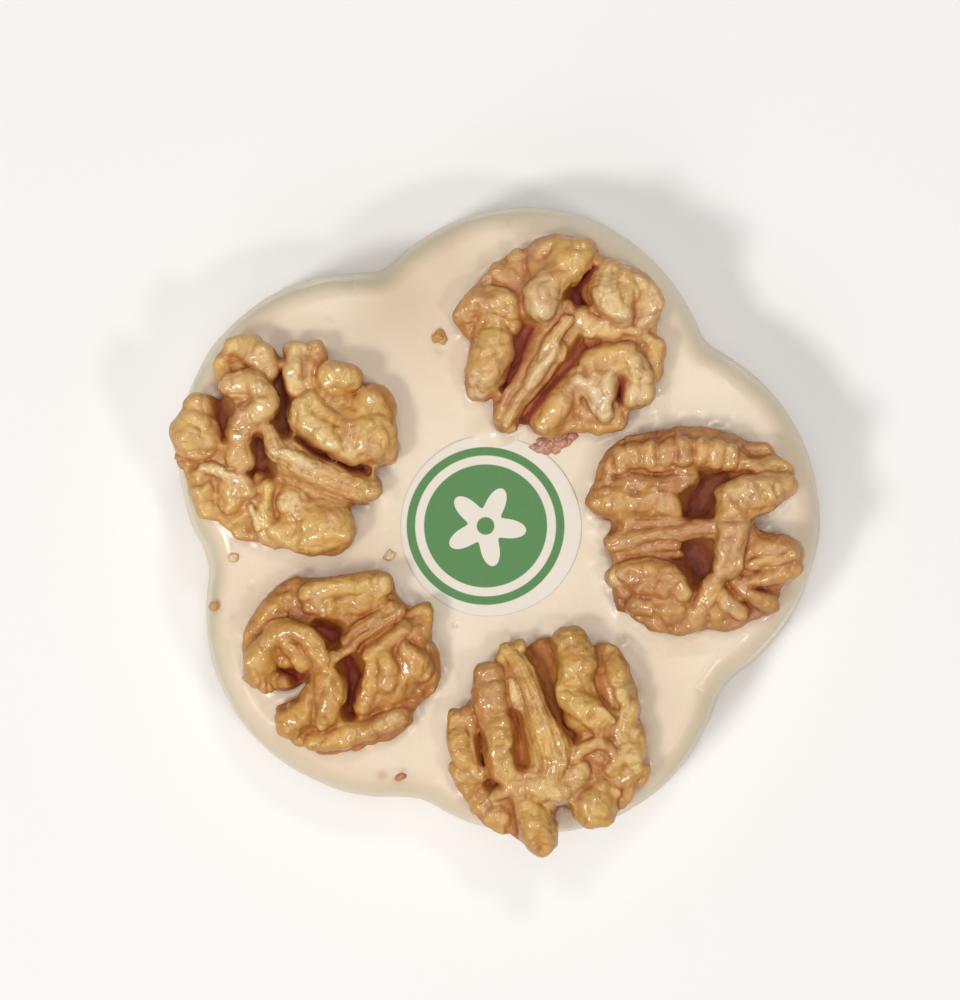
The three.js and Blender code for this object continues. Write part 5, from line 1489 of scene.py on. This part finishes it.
# Soft spots of painted shadow on the top face: pixel column, pixel row, size and strength
SHADE_SPOTS = [(400, 300, 9.0, 0.75), (440, 262, 7.0, 0.6), (520, 236, 6.0, 0.2), (590, 240, 5.0, 0.1),
        (250, 330, 5.0, 0.3),
        (235, 600, 4.0, 0.15), (640, 700, 6.0, 0.35), (600, 800, 5.0, 0.3), (450, 800, 5.0, 0.2)]
STAINS = [(213, 607, 1.1, 0.55), (401, 777, 1.2, 0.6), (382, 776, 0.9, 0.35), (391, 555, 1.0, 0.25),
          (234, 557, 0.9, 0.3), (533, 226, 3.0, 0.12), (508, 224, 1.6, 0.18), (440, 338, 1.2, 0.35),
          (232, 620, 1.0, 0.2), (445, 240, 1.5, 0.12)]
WET_SPOTS = [(700, 405, 7), (655, 398, 4), (770, 470, 6), (760, 620, 7), (690, 650, 6), (630, 655, 5),
             (240, 540, 4), (400, 590, 4), (330, 285, 5), (450, 640, 4), (735, 380, 4), (600, 430, 4)]


def top_relief(x, y, away, relief):
    """How far the top face stands over or under its flat plane."""
    flat = np.zeros_like(x)
    height = 0.10 * relief.at(x, y, flat, 14.0) + 0.025 * relief.at(x, y, flat + 40, 4.0)
    height += 0.012 * relief.at(x, y, flat + 80, 1.3)
    uneven = 0.65 + 0.35 * relief.at(x, y, flat + 120, 2.4)
    height += 0.52 * uneven * np.exp(-((away - 0.35) / 0.85) ** 2)
    height += 0.30 * uneven * np.exp(-((away - 1.6) / 1.5) ** 2)
    for column, row, width, rise in BULGES:
        px, py = from_pixel(column, row)
        height += rise * np.exp(-((x - px) ** 2 + (y - py) ** 2) / width**2)
    for column, row, width in PITS:
        px, py = from_pixel(column, row)
        height -= 0.35 * np.exp(-((x - px) ** 2 + (y - py) ** 2) / (0.6 * width) ** 2)
    return height


def spots_value(x, y, spots, strength=None):
    """The strongest of some soft round spots given as pixel column, pixel row and size."""
    value = np.zeros_like(x)
    for spot in spots:
        px, py = from_pixel(spot[0], spot[1])
        power = spot[3] if strength is None else strength
        value = np.maximum(value, power * np.exp(-((x - px) ** 2 + (y - py) ** 2) / spot[2] ** 2))
    return value


def make_cheese(kernels):
    """The whole cheese: rings of points from the middle of the top, over the rim and down to the foot."""
    foot, bend = wall_heights()
    turns, foot_reach = cad_ring(foot)
    _, bend_reach = cad_ring(bend)
    slant = np.gradient(bend_reach, turns) / bend_reach
    inset = SHOULDER_WIDTH * np.sqrt(1 + slant**2)
    edge_reach = bend_reach - inset
    coarse = np.linspace(0.02, 0.26, 14)[:-1]
    fine = np.linspace(0.26, 1.0, 92)
    shares = np.concatenate([coarse, fine])
    rings = []
    for share in shares:
        rings.append((share * edge_reach, np.full(CHEESE_AROUND, TOP), share))
    for step in range(1, RIM_RINGS + 1):
        turn = 0.5 * math.pi * step / RIM_RINGS
        reach = edge_reach + inset * math.sin(turn)
        height = bend + (TOP - bend) * math.cos(turn)
        rings.append((reach, np.full(CHEESE_AROUND, height), 2))
    wall_steps = 26
    for step in range(1, wall_steps + 1):
        share = step / wall_steps
        reach = bend_reach + (foot_reach - bend_reach) * share
        rings.append((reach, np.full(CHEESE_AROUND, bend + (foot - bend) * share), 3))
    for turn in (0.4, 0.8, 1.2, 0.5 * math.pi):
        inward = foot * (1 - math.cos(turn))
        rings.append((foot_reach - inward, np.full(CHEESE_AROUND, foot * (1 - math.sin(turn))), 4))
    for share in (0.97, 0.9, 0.75, 0.5, 0.25):
        rings.append(((foot_reach - foot) * share, np.zeros(CHEESE_AROUND), 4))
    reach = np.array([r[0] for r in rings])
    z = np.array([r[1] for r in rings])
    x = reach * np.cos(turns)
    y = reach * np.sin(turns)
    relief = Relief(11)
    away = kernels.away(x, y)
    top_share = np.clip((z - bend) / (TOP - bend), 0, 1) ** 2
    z = z + top_share * top_relief(x, y, away, relief)
    wall = np.clip(z / foot, 0, 1) * (1 - top_share)
    push = wall * (0.16 * relief.at(x, y, z, 7.0) + 0.05 * relief.at(x, y, z, 2.0))
    push[reach < 0.8 * foot_reach] = 0
    x = x + push * np.cos(turns)
    y = y + push * np.sin(turns)
    points = np.stack([x, y, z], axis=-1).reshape(-1, 3)
    count = len(rings)
    middle_top = [0, 0, float(z[0].mean())]
    points = np.concatenate([points, [middle_top, [0, 0, 0]]])
    steps = np.arange(CHEESE_AROUND)
    after = (steps + 1) % CHEESE_AROUND
    faces = []
    for ring in range(count - 1):
        upper = ring * CHEESE_AROUND
        lower = upper + CHEESE_AROUND
        quads = np.stack([upper + steps, lower + steps, lower + after, upper + after], axis=1)
        faces.extend(quads.tolist())
    top_point = count * CHEESE_AROUND
    faces.extend([[top_point, a, b] for a, b in zip(steps, after)])
    last = (count - 1) * CHEESE_AROUND
    faces.extend([[top_point + 1, last + b, last + a] for a, b in zip(steps, after)])
    stain_and_shadow = spots_value(x, y, STAINS)
    patches = Relief(12).at(x, y, z, 0.9)
    # Painted contact shadow beside the kernels, strongest east of them, together with their juice stain
    stain_and_shadow = np.maximum(stain_and_shadow, SHADE_HALO * kernels.east_side(x, y) * np.exp(-(np.clip(away, 0, None) / 0.9) ** 2))
    stain_and_shadow = np.clip(stain_and_shadow * (0.8 + 0.9 * patches), 0, 1) * top_share
    # Painted shade: shadow spots on the top face and a darker shoulder, most from the south-west round to the
    # east
    painted_shade = spots_value(x, y, SHADE_SPOTS)
    around = np.cos(turns + RIM_SHADE_TURN)
    rim_shade = ease(reach / edge_reach, 0.96, 1.06) * (RIM_SHADE_LEAST + RIM_SHADE_MORE * ease(around, -0.6, 0.6))
    painted_shade = np.maximum(painted_shade, rim_shade)
    # Painted green bounce light and shade on the outer edge, most in the north-west
    north_west = ease(np.cos(turns - OLIVE_BOUNCE_TURN), 0.1, 0.8)
    olive_bounce = ease(reach / edge_reach, 1.03, 1.08) * (OLIVE_BOUNCE_LEAST + OLIVE_BOUNCE_MORE * north_west)
    olive_bounce = olive_bounce * ease(z, 0.4 * TOP, 0.9 * TOP)
    wet = spots_value(x, y, WET_SPOTS, 1.0) * (z > 0.5 * TOP)
    wet = np.maximum(wet, 0.6 * np.exp(-((away - 0.8) / 1.2) ** 2))
    values = {
        "stain_and_shadow": np.concatenate([stain_and_shadow.ravel(), [0, 0]]),
        "painted_shade": np.concatenate([painted_shade.ravel(), [0, 0]]),
        "wet": np.concatenate([wet.ravel(), [0, 0]]),
        "olive_bounce": np.concatenate([olive_bounce.ravel(), [0, 0]]),
    }
    piece = make_piece("cheese_paste", points, faces, cheese_material(), values)
    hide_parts("cheese")
    return relief


def cheese_height(x, y, relief, kernels):
    """The height of the finished top face at single places."""
    x = np.atleast_1d(np.array(x, float))
    y = np.atleast_1d(np.array(y, float))
    return TOP + top_relief(x, y, kernels.away(x, y), relief)


# Label

# The print: its radii, how soft its edges are, its flower, and how far west of the paper's middle it lies
PRINT_RADIUS = 11.6
RING_OUTER = 10.35
RING_INNER = 9.05
PRINT_EDGE = 0.09
FLOWER_RADIUS = 6.0
FLOWER_EYE = 1.3
PETALS = 5
FLOWER_TURN = 0.6
PRINT_SHIFT = -0.75

# The paper: its thickness, how high it lies over the cheese, and its points all round
PAPER = 0.16
PAPER_REST = 0.25
PAPER_AROUND = 180


def make_label(relief, kernels):
    """A thin paper disc that follows the cheese's relief a little."""
    middle = (label_low + label_high) / 2
    radius = (label_high.x - label_low.x) / 2
    rings = np.concatenate([np.linspace(0.04, 0.97, 26), [0.99, 1.0]])
    turns = np.linspace(0, 2 * math.pi, PAPER_AROUND, endpoint=False)
    share, turn = np.meshgrid(rings, turns, indexing="ij")
    wobble = 1 + 0.004 * np.cos(3 * turn + 0.7) + 0.002 * np.cos(7 * turn)
    x = middle.x + share * radius * wobble * np.cos(turn)
    y = middle.y + share * radius * wobble * np.sin(turn)
    lie = 0.5 * top_relief(x, y, kernels.away(x, y), relief)
    upper = TOP + PAPER_REST + np.clip(lie, -0.05, 0.3)
    upper[-1] -= 0.25 * PAPER
    lower = upper - PAPER
    sheet_top = np.stack([x, y, upper], axis=-1).reshape(-1, 3)
    sheet_low = np.stack([x, y, lower], axis=-1).reshape(-1, 3)
    ends = [[middle.x, middle.y, upper[0].mean()], [middle.x, middle.y, lower[0].mean()]]
    points = np.concatenate([sheet_top, sheet_low, ends])
    steps = np.arange(PAPER_AROUND)
    after = (steps + 1) % PAPER_AROUND
    faces = []
    base = len(sheet_top)
    for ring in range(len(rings) - 1):
        a = ring * PAPER_AROUND
        b = a + PAPER_AROUND
        quads = np.stack([a + steps, b + steps, b + after, a + after], axis=1)
        faces += quads.tolist()
        faces += (base + quads[:, ::-1]).tolist()
    edge = (len(rings) - 1) * PAPER_AROUND
    quads = np.stack([edge + steps, base + edge + steps, base + edge + after, edge + after], axis=1)
    faces += quads.tolist()
    faces += [[2 * base, a, b] for a, b in zip(steps, after)]
    faces += [[2 * base + 1, base + b, base + a] for a, b in zip(steps, after)]
    material = label_material(middle.x + PRINT_SHIFT, middle.y)
    piece = make_piece("paper_label", points, faces, material)
    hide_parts("label")


# Crumbs: pixel column, pixel row, half length, half width, half height in millimetres, and turn in degrees

CRUMBS = [
    (438, 336, 1.0, 0.8, 0.7, 20, 0.5, 0.0),
    (443, 340, 0.6, 0.6, 0.5, 0, 0.2, 0.0),
    (390, 555, 0.9, 0.7, 0.35, 40, 0.0, 0.7),
    (234, 557, 0.8, 0.6, 0.35, 10, 0.0, 0.6),
    (401, 777, 0.9, 0.6, 0.3, 30, 0.7, 0.0),
    (213, 606, 0.7, 0.6, 0.3, 0, 0.6, 0.0),
]


# The heap of broken bits between the north kernel and the label: its two ends, its spread and its count
HEAP_START = (533, 450)
HEAP_END = (573, 435)
HEAP_SPREAD = 3.4
HEAP_COUNT = 34
HEAP_TINT = (1.15, 1.0, 1.7)


def heap_rows():
    """Rows like those of CRUMBS for the heap's bits, larger in its middle."""
    draw = np.random.default_rng(22)
    rows = []
    for number in range(HEAP_COUNT):
        share = (number + 0.5) / HEAP_COUNT
        side = draw.normal(0, 0.45)
        column = HEAP_START[0] + share * (HEAP_END[0] - HEAP_START[0]) + side * HEAP_SPREAD
        row = HEAP_START[1] + share * (HEAP_END[1] - HEAP_START[1]) + draw.normal(0, 0.6) * HEAP_SPREAD
        size = draw.uniform(0.45, 0.75) * (0.7 + 0.6 * math.sin(math.pi * share))
        long, wide, tall = size * draw.uniform(1.1, 1.7), size, size * draw.uniform(0.5, 0.9)
        rows.append((column, row, long, wide, tall, draw.uniform(0, 180), draw.uniform(0.6, 1.0),
                     draw.choice([0.0, 0.1, 0.5])))
    return rows


def make_crumbs(name, rows, tint, relief, kernels):
    """Small broken bits of kernel that lie on the cheese, as one mesh."""
    points, faces, pale, red = [], [], [], []
    rough = Relief(21)
    for column, row, long, wide, tall, degrees, redness, paleness in rows:
        ball = bmesh.new()
        bmesh.ops.create_icosphere(ball, subdivisions=3, radius=1)
        corners = np.array([v.co for v in ball.verts])
        skin = [[v.index for v in f.verts] for f in ball.faces]
        ball.free()
        px, py = from_pixel(column, row)
        lumps = 0.34 * rough.at(*(corners + (column, row, 0)).T, 0.8)
        lumps += 0.16 * rough.at(*(corners + (row, column, 0)).T, 0.35)
        corners = corners * (1 + lumps)[:, None] * (long, wide, tall)
        angle = math.radians(degrees)
        cosine = math.cos(angle)
        sine = math.sin(angle)
        spin = np.array([[cosine, sine, 0], [-sine, cosine, 0], [0, 0, 1]])
        sink = float(cheese_height(px, py, relief, kernels)[0]) + 0.25 * tall
        corners = corners @ spin + (px, py, sink)
        start = len(points)
        points.extend(corners.tolist())
        faces.extend([[i + start for i in f] for f in skin])
        pale.extend([paleness] * len(corners))
        red.extend([redness] * len(corners))
    values = {"hollow": np.zeros(len(points)), "pale": pale, "red": red}
    plain = ("low", "vein", "fibre", "scar", "crease", "swell", "steep")
    values.update({key: np.zeros(len(points)) for key in plain})
    material = walnut_material(name + "_skin", 6, CRUMB_DEEP, CRUMB_RIM_SHADE, tint)
    make_piece(name, points, faces, material, values)


# Stage, lights and camera

CAMERA_DISTANCE = 600
SENSOR = 36

# In metres: half the floor's side, and how far the floor lies below the cheese's underside
FLOOR_HALF = 1.5
FLOOR_DROP = 0.0002


def make_floor():
    mesh = bpy.data.meshes.new("floor")
    half = FLOOR_HALF
    corners = [(-half, -half, 0), (half, -half, 0), (half, half, 0), (-half, half, 0)]
    mesh.from_pydata(corners, [], [(0, 1, 2, 3)])
    mesh.materials.append(floor_material())
    floor = bpy.data.objects.new("floor", mesh)
    floor.location.z = -FLOOR_DROP
    bpy.context.scene.collection.objects.link(floor)


def make_light(name, place, size, watts, colour):
    """A soft square light that faces the cheese."""
    lamp = bpy.data.lights.new(name, "AREA")
    lamp.size = size
    lamp.energy = watts
    lamp.color = colour
    light = bpy.data.objects.new(name, lamp)
    light.location = place
    light.rotation_euler = (Vector((0, 0, 0.02)) - Vector(place)).to_track_quat("-Z", "Y").to_euler()
    bpy.context.scene.collection.objects.link(light)


def make_lights():
    make_light("left_light", (-0.66, -0.46, 1.28), 0.24, 7.0, (1.0, 0.975, 0.94))
    make_light("right_light", (0.60, -0.48, 1.30), 0.18, 2.8, (1.0, 0.98, 0.95))
    make_light("back_light", (0.16, 0.58, 1.35), 0.16, 1.8, (1.0, 0.99, 0.97))
    make_light("low_light", (-0.35, -1.00, 1.10), 0.60, 2.2, (1.0, 0.97, 0.93))
    make_light("top_light", (0.0, 0.10, 1.5), 0.7, 3.6, (1.0, 1.0, 1.0))
    world = bpy.data.worlds.new("soft_room")
    world.use_nodes = True
    background = world.node_tree.nodes["Background"]
    background.inputs["Color"].default_value = (1.0, 0.99, 0.97, 1)
    background.inputs["Strength"].default_value = 0.31
    bpy.context.scene.world = world


def make_camera():
    """Straight down on the photograph's middle, at its scale on the cheese's top face."""
    view = bpy.data.cameras.new("camera")
    view.sensor_width = SENSOR
    view.lens = SENSOR * CAMERA_DISTANCE * PIXELS_PER_MM / IMAGE_HEIGHT
    view.clip_start = 0.01
    view.clip_end = 10
    camera = bpy.data.objects.new("camera", view)
    x, y = from_pixel(IMAGE_WIDTH / 2, IMAGE_HEIGHT / 2)
    camera.location = (x * MM, y * MM, (TOP + CAMERA_DISTANCE) * MM)
    bpy.context.scene.collection.objects.link(camera)
    bpy.context.scene.camera = camera


def main():
    bpy.context.scene.view_settings.view_transform = "Standard"
    kernels = Kernels([make_nut(name, seed) for seed, name in enumerate(NUTS, start=1)])
    relief = make_cheese(kernels)
    make_label(relief, kernels)
    make_crumbs("kernel_crumbs", CRUMBS, (1, 1, 1), relief, kernels)
    make_crumbs("crumb_heap", heap_rows(), HEAP_TINT, relief, kernels)
    make_floor()
    make_lights()
    make_camera()


main()
